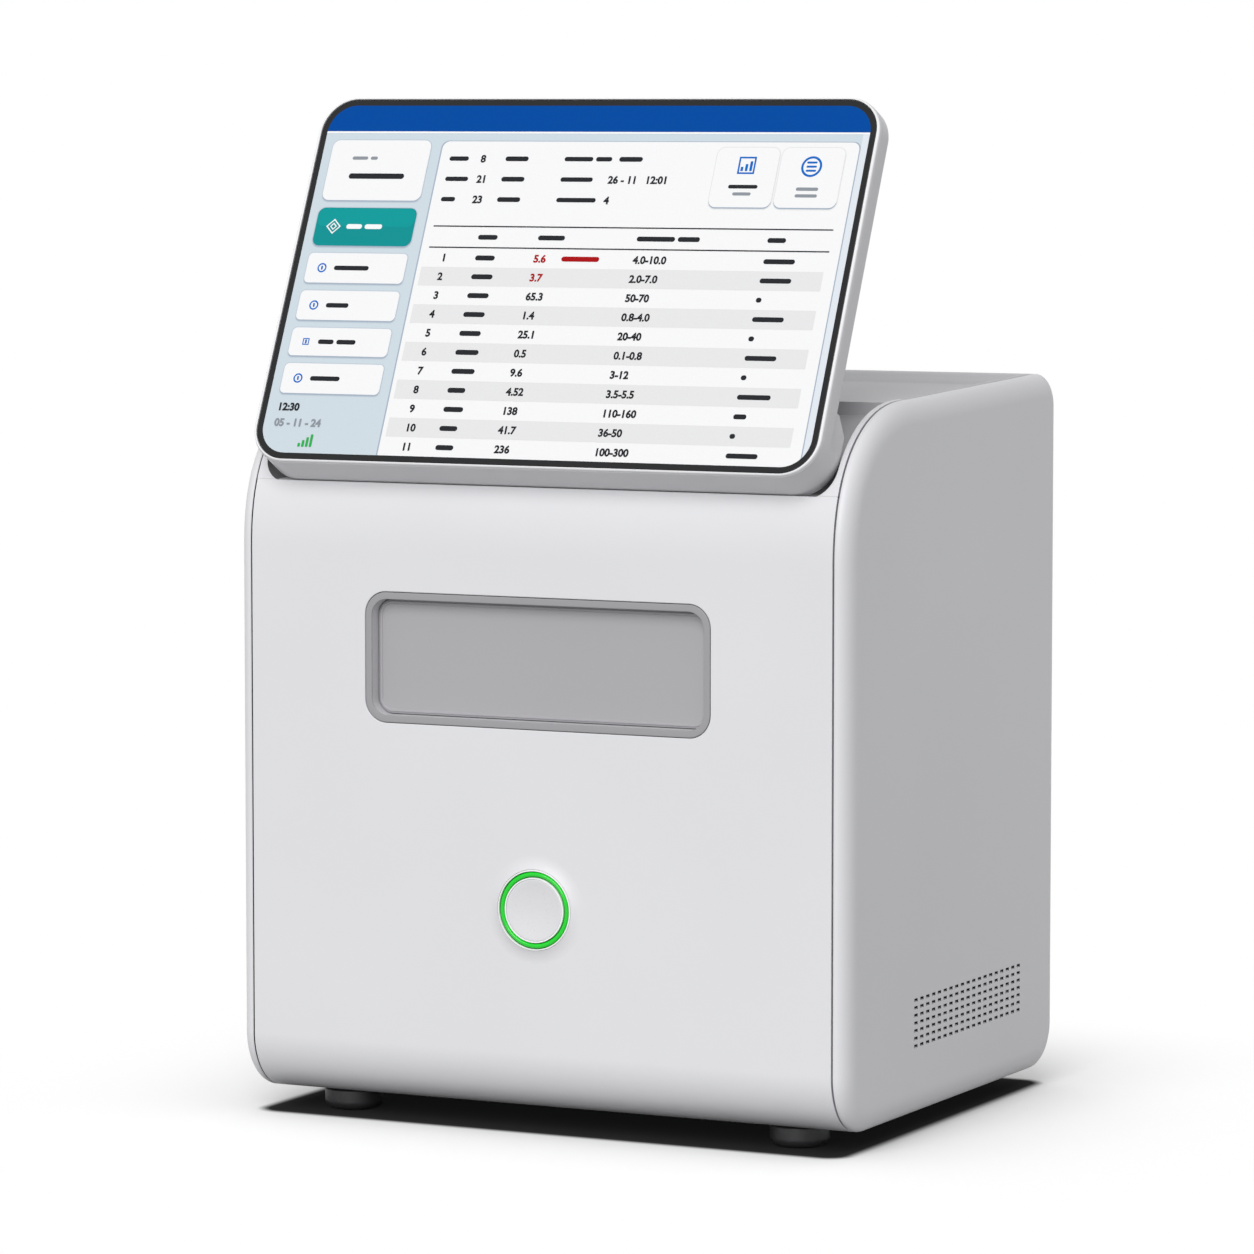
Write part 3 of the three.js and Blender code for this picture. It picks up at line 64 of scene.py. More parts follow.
body = Sizes(
    width=340,
    depth=268,
    wall=3,
    underside=11,
    front_top=290,
    shoulder_depth=85,
    shoulder_top=368.5,
    shoulder_power=2.3,
    back_top=374.4,
    back_top_radius=17,
    back_bottom_radius=23,
    front_bottom_radius=31,
)
side_panel = Sizes(seam_inset=8, rounding=12, wall=3, edge=0.9, edge_steps=3, steps=14)
seam = Sizes(front_under=62, rear_wrap=62, rear_top=340, lip=324.9, edge=0.3, width=0.65)
vent = Sizes(
    columns=19,
    rows=7,
    first_y=83.7,
    pitch_y=7.36,
    first_z=46.4,
    pitch_z=3.86,
    length=4.1,
    height=1.25,
    lip=0.5,
    wall_slant=0.1,
)
foot = Sizes(radius=15, rounding=4.5, top_rounding=1, side_inset=44, front_y=41, rear_inset=41, neck=4)
screen = Sizes(
    tilt=24.72,
    pivot_y=12,
    pivot_z=340,
    pivot_behind_glass=20,
    pivot_above_edge=12.8,
    half_width=155.3,
    height=197.6,
    rim=2.3,
    rim_below=1.7,
    corner_radius=18,
    front_edge=1.1,
    front_round=4,
    front_steps=8,
    rim_share=0.125,
    seat=1.5,
    thickness=14,
    back_rounding=4,
    back_steps=8,
    chin_thickness=27,
    chin_reach=15.9,
    chin_top=26,
    shoulder_top=36,
    chin_rounding=4,
    chin_cavity_half=60,
    border=6,
    panel_room=7.1,
)
screen_board = Sizes(half_width=62, low_edge=58, high_edge=132, depth=2.2)
hinge = Sizes(
    x=90,
    knuckle_width=16,
    arm_thickness=10,
    arm_clearance=0.6,
    notch_clearance=4,
    notch_depth=10,
    beam_y=48,
    beam_z=308.3,
)
pocket = Sizes(half_width=158.5, sweep_radius=16.5, corner_radius=14)
recess = Sizes(
    foot_z=340,
    slope_back_y=70,
    slope_top_z=361,
    plateau_front_z=367.5,
    plateau_back_y=228,
    plateau_back_z=369.5,
    rim_y=243,
    corner_radius=7,
)
window = Sizes(centre_z=237.4, width=184.6, height=58.4, radius=8.4)
bezel = Sizes(
    ring=3.6,
    radius=11.6,
    depth=12,
    flange=6,
    flange_thickness=2,
    edge=0.5,
)
drawer = Sizes(
    face_inset=6.8,
    face_thickness=3,
    clearance=0.3,
    lip_inset=1.2,
    lip_width=0.7,
    lip_height=0.5,
    lip_slope_share=0.4,
)
button = Sizes(
    z=114.6,
    radius=20.3,
    bore_radius=15.6,
    sleeve_radius=18,
    ring_inner=16.4,
    ring_outer=19.5,
    proud=2,
    ring_floor=0.6,
    sleeve_depth=8,
    cap_proud=1.8,
    cap_hollow=1.5,
    cap_thickness=3,
    stem_radius=4,
    stem_end=12,
    mound_radius=29,
    mound_height=1.85,
    mound_power=2.6,
    seat_gap=0.1,
    light_gap=0.39,
    crown_share=0.9,
    trench=0.15,
    edge=0.35,
    inner_dip_share=0.1,
    outer_dip_share=0.2,
    cap_dip_share=0.4,
    lip_share=0.5,
)
fan = Sizes(z=150, slots=9, slot_pitch=6, slot_height=2.5, slot_width=50)
inlet = Sizes(x=-110, z=85, width=28, height=62)
io_block = Sizes(x=125, z=95, width=17.8, height=70)

half = body.width / 2
seam_x = half - side_panel.seam_inset
skin_half = seam_x - seam.width
tilt = math.radians(screen.tilt)
fine_steps = 24
corner_steps = 10
round_sides = 128


# Points and outlines


def row(x, y, z):
    """A point of the part's own frame, in metres in the row frame."""
    return Vector((x, y - middle_y, z)) * MM


def arc(centre, radius, start, end, steps=fine_steps):
    angles = [math.radians(start + (end - start) * k / steps) for k in range(steps + 1)]
    return [(centre[0] + radius * math.cos(a), centre[1] + radius * math.sin(a)) for a in angles]


def rounded_rect(centre, width, height, radius, steps=corner_steps):
    points = []
    for side_x, side_z, start in ((1, 1, 0), (-1, 1, 90), (-1, -1, 180), (1, -1, 270)):
        x = centre[0] + side_x * (width / 2 - radius)
        z = centre[1] + side_z * (height / 2 - radius)
        points += arc((x, z), radius, start, start + 90, steps)
    return points


def shoulder():
    points = []
    for k in range(2 * fine_steps + 1):
        angle = math.pi / 2 * (1 - k / (2 * fine_steps))
        power = 2 / body.shoulder_power
        y = body.shoulder_depth * (1 - max(0, math.cos(angle)) ** power)
        z = body.front_top + (body.shoulder_top - body.front_top) * math.sin(angle) ** power
        points.append((y, z))
    return points


def shoulder_at(z):
    """The point of the shoulder curve at a height."""
    rise = (z - body.front_top) / (body.shoulder_top - body.front_top)
    along = (1 - rise**body.shoulder_power) ** (1 / body.shoulder_power)
    return (body.shoulder_depth * (1 - along), z)


back_bottom = arc(
    (body.depth - body.back_bottom_radius, body.underside + body.back_bottom_radius),
    body.back_bottom_radius,
    -90,
    0,
)
back_top = arc(
    (body.depth - body.back_top_radius, body.back_top - body.back_top_radius),
    body.back_top_radius,
    0,
    90,
)
front_bottom = arc(
    (body.front_bottom_radius, body.underside + body.front_bottom_radius),
    body.front_bottom_radius,
    180,
    270,
)
outline = back_bottom + back_top + shoulder() + front_bottom


def shifted(before, point, after, distance):
    """The corner point of an outline, moved to its left by the distance on both sides."""
    first = Vector((point[1] - before[1], before[0] - point[0])).normalized()
    second = Vector((after[1] - point[1], point[0] - after[0])).normalized()
    move = (first + second) * (distance / (1 + first.dot(second)))
    return (point[0] - move.x, point[1] - move.y)


def inset(points, distance):
    """A closed outline, drawn counter-clockwise, moved inwards."""
    count = len(points)
    return [shifted(points[k - 1], points[k], points[(k + 1) % count], distance) for k in range(count)]


def strip(points, thickness):
    """A closed band along an open path, on its left."""
    before = [tuple(2 * Vector(points[0]) - Vector(points[1]))] + points[:-1]
    after = points[1:] + [tuple(2 * Vector(points[-1]) - Vector(points[-2]))]
    inner = [shifted(a, b, c, thickness) for a, b, c in zip(before, points, after)]
    return points + inner[::-1]


# Meshes


def add_object(name, data):
    thing = bpy.data.objects.new(name, data)
    bpy.context.scene.collection.objects.link(thing)
    return thing


def new_object(name, bm):
    bmesh.ops.recalc_face_normals(bm, faces=bm.faces)
    mesh = bpy.data.meshes.new(name)
    bm.to_mesh(mesh)
    bm.free()
    return add_object(name, mesh)


def band(bm, low, high):
    """Faces between two rings with as many points each."""
    for k in range(len(low)):
        bm.faces.new((low[k - 1], low[k], high[k], high[k - 1]))


def add_loft(bm, loops, closed=False):
    """Adds a solid through loops of points; closed joins the last loop to the first, as a ring."""
    rings = [[bm.verts.new(row(*point)) for point in loop] for loop in loops]
    for low, high in zip(rings, rings[1:] + (rings[:1] if closed else [])):
        band(bm, low, high)
    if not closed:
        bm.faces.new(rings[0][::-1])
        bm.faces.new(rings[-1])


def loft(name, loops, closed=False):
    bm = bmesh.new()
    add_loft(bm, loops, closed)
    return new_object(name, bm)


def along_x(name, points, levels):
    """A solid from a Y-Z outline: levels hold its X and how far the outline is inset there."""
    return loft(name, [[(x, y, z) for y, z in inset(points, depth)] for x, depth in levels])


def block(name, xs, ys, zs):
    corners = [(ys[0], zs[0]), (ys[1], zs[0]), (ys[1], zs[1]), (ys[0], zs[1])]
    return along_x(name, corners, [(xs[0], 0), (xs[1], 0)])


def along_y(name, points, ys):
    """A solid from an X-Z outline."""
    return loft(name, [[(x, y, z) for x, z in points] for y in ys])


def turned(name, profile, centre, axis="y", sides=round_sides):
    """A turned solid: its profile in radius and place along the axis, from axis to axis."""
    bm = bmesh.new()
    rings = []
    for radius, along in profile:
        ring = []
        for k in range(sides if radius else 1):
            angle = 2 * math.pi * k / sides
            a, b = radius * math.cos(angle), radius * math.sin(angle)
            offset = (a, along, b) if axis == "y" else (a, b, along)
            ring.append(bm.verts.new(row(*(c + o for c, o in zip(centre, offset)))))
        rings.append(ring)
    for low, high in zip(rings, rings[1:]):
        for k in range(sides):
            lower = [low[k - 1], low[k]] if len(low) > 1 else low
            upper = [high[k], high[k - 1]] if len(high) > 1 else high
            bm.faces.new(lower + upper)
    if len(rings[0]) > 1 and len(rings[-1]) > 1:
        band(bm, rings[-1], rings[0])
    return new_object(name, bm)


def combine(base, operation, tools):
    """Cuts an object by others, joins them to it or keeps what they share; the others go."""
    for tool in tools:
        step = base.modifiers.new("combine", "BOOLEAN")
        step.operation = operation
        step.solver = "MANIFOLD"
        step.object = tool
    graph = bpy.context.evaluated_depsgraph_get()
    mesh = bpy.data.meshes.new_from_object(base.evaluated_get(graph))
    base.modifiers.clear()
    base.data = mesh
    for tool in tools:
        bpy.data.objects.remove(tool)
    return base


def cut(base, *tools):
    return combine(base, "DIFFERENCE", tools)


def join(base, *tools):
    return combine(base, "UNION", tools)


def common(base, *tools):
    return combine(base, "INTERSECT", tools)


def smooth(thing, angle=32, weighted=True):
    thing.data.shade_smooth()
    thing.data.set_sharp_from_angle(angle=math.radians(angle))
    if weighted:
        step = thing.modifiers.new("face weighted normals", "WEIGHTED_NORMAL")
        step.keep_sharp = True
        step.weight = 80


# Materials


def srgb(red, green, blue):
    """A colour from its values on a display, 0 to 255."""
    def linear(value):
        value /= 255
        return value / 12.92 if value <= 0.04045 else ((value + 0.055) / 1.055) ** 2.4

    return (linear(red), linear(green), linear(blue), 1)


def scaled(colour, share):
    return tuple(channel * share for channel in colour[:3]) + (1,)


class Nodes:
    """The node tree of a material or world, with short ways to add and link nodes."""

    usual = (0.3, 0.7)  # most values of a pattern lie between these

    def __init__(self, owner):
        owner.use_nodes = True
        self.owner = owner
        self.tree = owner.node_tree
        self.shader = self.tree.nodes.get("Principled BSDF")

    def add(self, kind, links=None, **values):
        node = self.tree.nodes.new(kind)
        for key, value in values.items():
            if key in node.inputs:
                node.inputs[key].default_value = value
            else:
                setattr(node, key, value)
        for key, source in (links or {}).items():
            self.tree.links.new(source, node.inputs[key])
        return node

    def noise(self, scale, detail=4.0, stretch=None):
        """An even random pattern."""
        place = self.add("ShaderNodeTexCoord").outputs["Object"]
        if stretch:
            place = self.add("ShaderNodeMapping", {"Vector": place}, Scale=stretch).outputs["Vector"]
        return self.add("ShaderNodeTexNoise", {"Vector": place}, Scale=scale, Detail=detail).outputs["Fac"]

    def bump(self, height, strength, depth, **links):
        """Normals of a pattern whose full height is the depth."""
        links["Height"] = height
        return self.add("ShaderNodeBump", links, Strength=strength, Distance=depth * MM).outputs["Normal"]

    def remap(self, source, low, high, start, end, kind="LINEAR"):
        """Turns values from low to high into start to end."""
        node = self.add("ShaderNodeMapRange", {"Value": source}, interpolation_type=kind)
        for key, value in (("From Min", low), ("From Max", high), ("To Min", start), ("To Max", end)):
            node.inputs[key].default_value = value
        return node.outputs["Result"]

    def fade(self, source, low, high, start=0.0, end=1.0):
        """The same with soft ends."""
        return self.remap(source, low, high, start, end, "SMOOTHSTEP")

    def ramp(self, pattern, low, high):
        """Turns a pattern into values or colours between low and high."""
        if not isinstance(low, tuple):
            return self.remap(pattern, *self.usual, low, high)
        node = self.add("ShaderNodeMix", data_type="RGBA")
        node.inputs[6].default_value = low
        node.inputs[7].default_value = high
        self.tree.links.new(self.ramp(pattern, 0.0, 1.0), node.inputs[0])
        return node.outputs[2]

    def calc(self, operation, *terms, kind="ShaderNodeMath"):
        """The result of a sum on values that are numbers or come from other nodes."""
        node = self.add(kind, operation=operation)
        for socket, term in zip(node.inputs, terms):
            if isinstance(term, bpy.types.NodeSocket):
                self.tree.links.new(term, socket)
            else:
                socket.default_value = term
        return node.outputs[0]

    def vector(self, operation, *terms):
        return self.calc(operation, *terms, kind="ShaderNodeVectorMath")

    def seen(self):
        """1 for camera, glossy and transmission rays, and 0 for all others."""
        rays = self.add("ShaderNodeLightPath").outputs
        direct = self.calc("MAXIMUM", rays["Is Camera Ray"], rays["Is Glossy Ray"])
        return self.calc("MAXIMUM", direct, rays["Is Transmission Ray"])

    def show(self, share, first, second):
        """Ends the tree in a mix of two shaders."""
        mix = self.add("ShaderNodeMixShader")
        for socket, source in zip(mix.inputs, (share, first, second)):
            self.tree.links.new(source, socket)
        end = next(node for node in self.tree.nodes if "Surface" in node.inputs)
        self.tree.links.new(mix.outputs[0], end.inputs["Surface"])

    def feed(self, **links):
        for key, source in links.items():
            self.tree.links.new(source, self.shader.inputs[key.replace("_", " ")])

    def values(self, **values):
        for key, value in values.items():
            self.shader.inputs[key.replace("_", " ")].default_value = value


def material(name):
    return Nodes(bpy.data.materials.new(name))


def moulded(name, colour, roughness=0.42, depth=0.03, edge=0.4):
    """Moulded plastic: fine even grain, slight unevenness of colour and gloss, softened edges."""
    n = material(name)
    broad = n.noise(scale=9, detail=3.0)
    fine = n.noise(scale=900, detail=2.0)
    soft_edge = n.add("ShaderNodeBevel", samples=4, Radius=edge * MM).outputs["Normal"]
    n.feed(
        Base_Color=n.ramp(broad, scaled(colour, 0.985), scaled(colour, 1.01)),
        Roughness=n.ramp(fine, roughness - 0.04, roughness + 0.05),
        Normal=n.bump(fine, 0.25, depth, Normal=soft_edge),
    )
    n.values(IOR=1.5)
    return n.owner


def metal(name, colour, roughness=0.32, stretch=(1, 1, 1)):
    """Metal with rolling or turning marks along one direction."""
    n = material(name)
    marks = n.noise(scale=140, detail=6.0, stretch=stretch)
    n.feed(
        Base_Color=n.ramp(marks, scaled(colour, 0.9), colour),
        Roughness=n.ramp(marks, roughness - 0.07, roughness + 0.1),
        Normal=n.bump(marks, 0.15, 0.02),
    )
    n.values(Metallic=1.0)
    return n.owner


def rubber(name, colour, roughness):
    """Rubber with a fine grain and a little dust."""
    n = material(name)
    grain = n.noise(scale=700, detail=5.0)
    n.feed(
        Base_Color=n.ramp(n.noise(scale=40), colour, scaled(colour, 1.5)),
        Roughness=n.ramp(grain, roughness - 0.08, roughness + 0.1),
        Normal=n.bump(grain, 0.4, 0.05),
    )
    return n.owner


def board_material(name, colour):
    """Circuit board lacquer over a pattern of tracks and pads."""
    n = material(name)
    place = n.add("ShaderNodeTexCoord").outputs["Object"]
    tracks = n.add("ShaderNodeTexBrick", {"Vector": place}, Scale=90.0).outputs["Fac"]
    n.feed(
        Base_Color=n.ramp(tracks, colour, scaled(colour, 1.9)),
        Roughness=n.ramp(n.noise(scale=300), 0.3, 0.5),
    )
    return n.owner


def lit(name, colour, glow, roughness=0.22, shine=0.5):
    """A surface that shines a little in its own colour."""
    n = material(name)
    speckle = n.noise(scale=1600, detail=1.0)
    n.feed(
        Base_Color=n.ramp(speckle, scaled(colour, 0.97), colour),
        Roughness=n.ramp(speckle, roughness - 0.04, roughness + 0.04),
    )
    n.values(Emission_Color=colour, Emission_Strength=glow, Specular_IOR_Level=shine)
    return n.owner


looks = Sizes(
    casing=moulded("casing plastic", srgb(224, 224, 227)),
    tray=moulded("tray plastic", srgb(214, 216, 220), roughness=0.5),
    grey=moulded("window grey plastic", srgb(170, 169, 172), roughness=0.46),
    grey_dark=moulded("window frame plastic", srgb(156, 155, 158), roughness=0.4),
    # A lighter copy of the frame grey for the window's inner walls: painted light against their shade.
    grey_wall=moulded("window wall painted light", srgb(202, 201, 204), roughness=0.4),
    white=moulded("button white plastic", srgb(222, 222, 225), roughness=0.3, depth=0.01, edge=0.2),
    white_rim=moulded("button rim plastic", srgb(250, 250, 251), roughness=0.25, depth=0.01, edge=0.1),
    shell=moulded("screen shell plastic", srgb(210, 210, 213), roughness=0.34, depth=0.02),
    # A lighter copy of the shell grey for its front rim: a painted highlight.
    shell_rim=moulded("screen rim painted highlight", srgb(236, 236, 238), roughness=0.25, depth=0.01, edge=0.1),
    # Darker greys of the casing plastic for the sunken top and the pocket: painted shade under and behind
    # the screen.
    recess=moulded("recess painted shade", srgb(190, 190, 193), roughness=0.5),
    pocket=moulded("pocket painted shade", srgb(120, 120, 122), roughness=0.5),
    rubber=rubber("foot rubber", srgb(37, 37, 39), roughness=0.42),
    belt=rubber("belt rubber", srgb(20, 20, 21), roughness=0.8),
    black=moulded("black plastic", srgb(38, 38, 41), roughness=0.5),
    steel=metal("sheet steel", srgb(188, 191, 195), stretch=(1, 12, 12)),
    bright=metal("bright steel", srgb(214, 216, 220), roughness=0.2, stretch=(12, 1, 12)),
    brass=metal("gear brass", srgb(190, 152, 70), roughness=0.3),
    board=board_material("circuit board", srgb(26, 88, 56)),
    reagent=moulded("reagent plastic", srgb(228, 232, 238), roughness=0.35, depth=0.01),
    green=lit("green light guide", srgb(8, 208, 38), glow=0.08, roughness=0.2),
    # Dark green for the bottom of the light's groove: painted shade beside the guide.
    green_dark=lit("green light guide groove shade", srgb(6, 96, 24), glow=0.0, shine=0.1),
)


def give(thing, *materials):
    thing.data.materials.clear()
    for material in materials:
        thing.data.materials.append(material)


def piece(thing, ride_on, material, replaces=()):
    give(thing, material)
    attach(thing, ride_on)
    if replaces:
        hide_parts(*replaces)
    return thing


# Casing


def edge_levels(low, high, edge):
    """Levels of a solid along X whose two ends have small rounded edges."""
    bend = edge * bend_share
    levels = [(low, edge), (low + bend, bend), (low + edge, 0)]
    return levels + [(high - edge, 0), (high - bend, bend), (high, edge)]


def pocket_room():
    """Room that the foot of the screen sweeps through, with rounded lower corners."""
    sweep = arc((screen.pivot_y, screen.pivot_z), pocket.sweep_radius, 180, 360, 2 * fine_steps)
    top = body.back_top + overrun
    back = screen.pivot_y + pocket.sweep_radius
    side = sweep + [(back, top), (-body.wall - overrun, top), (-body.wall - overrun, screen.pivot_z)]
    wide = pocket.half_width
    height = 2 * (body.back_top - screen.pivot_z + pocket.sweep_radius)
    centre_z = screen.pivot_z - pocket.sweep_radius + height / 2
    front = rounded_rect((0, centre_z), 2 * wide, height, pocket.corner_radius)
    room = along_x("pocket room", side, [(-wide, 0), (wide, 0)])
    return common(room, along_y("pocket front", front, (-body.depth, body.depth)))


def around_window(grow, radius, y):
    """The window's outline, drawn larger by grow on each side, at a depth."""
    points = rounded_rect((0, window.centre_z), window.width + 2 * grow, window.height + 2 * grow, radius)
    return [(x, y, z) for x, z in points]


def button_mound():
    """The soft rise of the cover towards the button."""
    b = button
    profile = [(0, body.wall / 2), (b.mound_radius, body.wall / 2)]
    for k in range(2 * corner_steps + 1):
        share = k / (2 * corner_steps)
        radius = b.mound_radius + (b.radius - b.mound_radius) * share
        profile.append((radius, hair - b.mound_height * share**b.mound_power))
    profile.append((0, profile[-1][1]))
    return turned("mound", profile, (0, 0, b.z), sides=96)


def front_cover():
    path = [shoulder_at(seam.lip)]
    path += [point for point in shoulder() if point[1] < seam.lip - overrun]
    path += front_bottom + [(seam.front_under, body.underside)]
    cover = along_x("front_shell", strip(path, body.wall), edge_levels(-skin_half, skin_half, seam.edge))
    side = bezel.ring + gap
    levels = ((-overrun, seam.edge + overrun), (seam.edge, 0), (body.wall + overrun, 0))
    opening = [around_window(side + grow, bezel.radius + gap + grow, y) for y, grow in levels]
    join(cover, button_mound())
    through = body.wall + overrun
    seat, sleeve = button.radius + button.seat_gap, button.sleeve_radius + gap
    bore = [(0, -through), (seat, -through), (seat, 0), (sleeve, 0), (sleeve, through), (0, through)]
    cut(cover, loft("opening", opening), turned("bore", bore, (0, 0, button.z)), pocket_room())
    smooth(cover)
    piece(cover, "casing", looks.casing, ["front_cover"])


def recess_floor(drop):
    """The sunken top seen from the side, lowered and set back by the drop."""
    back = screen.pivot_y + pocket.sweep_radius
    top = body.back_top + overrun
    slope_back = recess.slope_back_y + drop
    plateau_back = recess.plateau_back_y + drop
    rim = recess.rim_y + drop
    return [
        (back - overrun, recess.foot_z - drop),
        (back, recess.foot_z - drop),
        (slope_back, recess.slope_top_z - drop),
        (slope_back, recess.plateau_front_z - drop),
        (plateau_back, recess.plateau_back_z - drop),
        (rim, top),
        (rim, top + overrun),
        (back - overrun, top + overrun),
    ]


def arm_slot(side):
    """The slot that a hinge arm passes through."""
    along = Vector((hinge.beam_y - screen.pivot_y, hinge.beam_z - screen.pivot_z))
    across = Vector((-along.y, along.x)).normalized() * (hinge.arm_thickness / 2 + hinge.arm_clearance)
    start = Vector((screen.pivot_y, screen.pivot_z))
    end = start + along
    corners = [tuple(start - across), tuple(end - across), tuple(end + across), tuple(start + across)]
    reach = hinge.knuckle_width / 2 + hinge.arm_clearance
    middle = side * hinge.x
    return along_x("arm slot", corners, [(middle - reach, 0), (middle + reach, 0)])


def top_skin():
    """The curved wall of the top and of the upper back."""
    top = body.back_top + overrun
    rear_seam = body.depth - seam.rear_wrap
    rear_ys = (rear_seam - overrun, body.depth + overrun)
    full = along_x("top_shell", outline, edge_levels(-skin_half, skin_half, seam.edge))
    hollow = along_x("hollow", inset(outline, body.wall), [(-half, 0), (half, 0)])
    upper = join(
        block("upper", (-half, half), (-overrun, rear_seam), (seam.lip, top)),
        block("upper rear", (-half, half), rear_ys, (seam.rear_top, top)),
    )
    return common(cut(full, hollow), upper)


def pocket_walls():
    """The trough under the screen's foot and the bed of the sunken top behind it."""
    radius = pocket.sweep_radius + body.wall
    side = arc((screen.pivot_y, screen.pivot_z), radius, 0, 360, 4 * fine_steps)[:-1]
    reach = pocket.half_width + body.wall
    wide, skin = [(-reach, 0), (reach, 0)], [(-skin_half, 0), (skin_half, 0)]
    trough = common(along_x("trough", side, wide), along_x("trough bounds", outline, skin))
    lower = block("lower", (-half, half), (-overrun, body.depth - seam.rear_wrap), (0, seam.lip))
    cut(lower, along_x("inside", inset(outline, body.wall + gap), [(-half, 0), (half, 0)]))
    cut(trough, lower)
    bed = along_x("bed", recess_floor(body.wall), wide)
    return trough, common(bed, along_x("bed bounds", outline, skin))


def recess_room():
    """The room over the sunken top, with rounded rear corners."""
    wide, far = pocket.half_width, 2 * body.depth
    room = along_x("recess", recess_floor(0), [(-wide, 0), (wide, 0)])
    corners = rounded_rect((0, recess.rim_y - far / 2), 2 * wide, far, recess.corner_radius)
    zs = (recess.foot_z - pocket.sweep_radius - body.wall, body.back_top + overrun)
    return common(room, loft("recess plan", [[(x, y, z) for x, y in corners] for z in zs]))


def top_cover():
    shell = join(top_skin(), *pocket_walls())
    cut(shell, pocket_room(), recess_room(), arm_slot(-1), arm_slot(1))
    smooth(shell)
    piece(shell, "casing", looks.casing, ["top_cover"])
    back = screen.pivot_y + pocket.sweep_radius
    xs = (-pocket.half_width - gap, pocket.half_width + gap)
    in_pocket = box_test(xs, (0, back + gap), (seam.lip, recess.foot_z + gap))
    # The pocket's faces take a dark grey: painted shade where the screen's foot shades the trough.
    recolour(shell, looks.pocket, lambda face: in_pocket(face) and behind_shoulder(face))
    # The sunken top behind the screen takes a darker grey: painted shade cast by the screen.
    floor_zs = (recess.foot_z - gap, body.back_top - gap)
    recolour(shell, looks.recess, box_test(xs, (back + gap, recess.rim_y + gap), floor_zs))


def box_test(xs, ys, zs):
    """A test for faces whose middle lies in a box."""
    low, high = row(xs[0], ys[0], zs[0]), row(xs[1], ys[1], zs[1])
    return lambda face: all(a < c < b for a, c, b in zip(low, face.center, high))


def behind_shoulder(face):
    """A test for faces that lie further back than the rounded front of the top."""
    y, z = face.center.y / MM + middle_y, face.center.z / MM
    return y > shoulder_at(z)[0] + gap


def in_shaded_seam(face):
    """A test for faces of a side panel that lie at the bottom of its seam, which are made black as painted
    shade.
    """
    return abs(abs(face.center.x) / MM - seam_x) < side_panel.edge / 10


def recolour(thing, material, chosen):
    """Gives a further material to the faces that pass a test."""
    thing.data.materials.append(material)
    for face in thing.data.polygons:
        if chosen(face):
            face.material_index = len(thing.data.materials) - 1


def pill(centre, width, height):
    """An outline with round ends."""
    return rounded_rect(centre, width, height, min(width, height) * pill_share, 4)


def rear_cover():
    rear_seam = body.depth - seam.rear_wrap
    path = [(rear_seam, body.underside)] + back_bottom + [(body.depth, seam.rear_top - gap)]
    cover = along_x("rear_shell", strip(path, body.wall), edge_levels(-skin_half, skin_half, seam.edge))
    through = (body.depth - body.wall - overrun, body.depth + overrun)
    tools = []
    for k in range(fan.slots):
        z = fan.z + (k - (fan.slots - 1) / 2) * fan.slot_pitch
        tools.append(along_y("fan slot", pill((0, z), fan.slot_width, fan.slot_height), through))
    for hole in (inlet, io_block):
        reach, rise = hole.width / 2 + gap, hole.height / 2 + gap
        xs, zs = (hole.x - reach, hole.x + reach), (hole.z - rise, hole.z + rise)
        tools.append(block("hole", xs, through, zs))
    cut(cover, *tools)
    smooth(cover)
    piece(cover, "casing", looks.casing, ["rear_cover"])


def side_panel_solid(side, name):
    p = side_panel
    levels = []
    for k in range(p.edge_steps + 1):
        angle = math.pi / 2 * k / p.edge_steps
        levels.append((seam_x + p.edge * (1 - math.cos(angle)), p.edge * (1 - math.sin(angle))))
    for k in range(1, p.steps + 1):
        angle = math.pi / 2 * k / p.steps
        x = seam_x + p.edge + (p.seam_inset - p.edge) * math.sin(angle)
        levels.append((x, p.rounding * (1 - math.cos(angle))))
    hollow = [
        (seam_x - overrun, p.wall),
        (seam_x, p.wall),
        (seam_x + (p.seam_inset - p.wall) / 2, p.wall + p.rounding / 4),
        (half - p.wall, p.rounding),
    ]
    panel = along_x(name, outline, [(side * x, depth) for x, depth in levels])
    return cut(panel, along_x("panel hollow", outline, [(side * x, depth) for x, depth in hollow]))


def vent_slots():
    """Rows of short slots, each with its lower edge cut back to a slope."""
    v = vent
    inner = half - side_panel.wall - overrun
    levels = ((half + overrun, v.lip), (half, v.lip), (half - 2 * v.lip, 0), (inner, 0))
    bm = bmesh.new()
    for line in range(v.rows):
        for column in range(v.columns):
            front = v.first_y + column * v.pitch_y - v.length / 2
            bottom = v.first_z + line * v.pitch_z - v.height / 2
            loops = []
            for x, lip in levels:
                corners = ((0, -lip), (v.length, -lip), (v.length, v.height), (0, v.height))
                loops.append([(x, front + y, bottom + z) for y, z in corners])
            add_loft(bm, loops)
    return new_object("vents", bm)


def side_panels():
    left = side_panel_solid(-1, "left_panel")
    right = cut(side_panel_solid(1, "right_panel"), vent_slots())
    for panel, node in ((left, "left_side_panel"), (right, "right_side_panel")):
        smooth(panel)
        piece(panel, "casing", looks.casing, [node])
        # The bottom of each seam is black: painted shade in the gap between panel and cover.
        recolour(panel, looks.black, in_shaded_seam)
    # The walls of the vent slots are black: painted shade inside the slots.
    height, length = vent.rows * vent.pitch_z, vent.columns * vent.pitch_y
    ys = (vent.first_y - vent.pitch_y, vent.first_y + length)
    inside = box_test((0, half), ys, (vent.first_z - vent.pitch_z, vent.first_z + height))
    recolour(right, looks.black, lambda face: inside(face) and abs(face.normal.x) < vent.wall_slant)


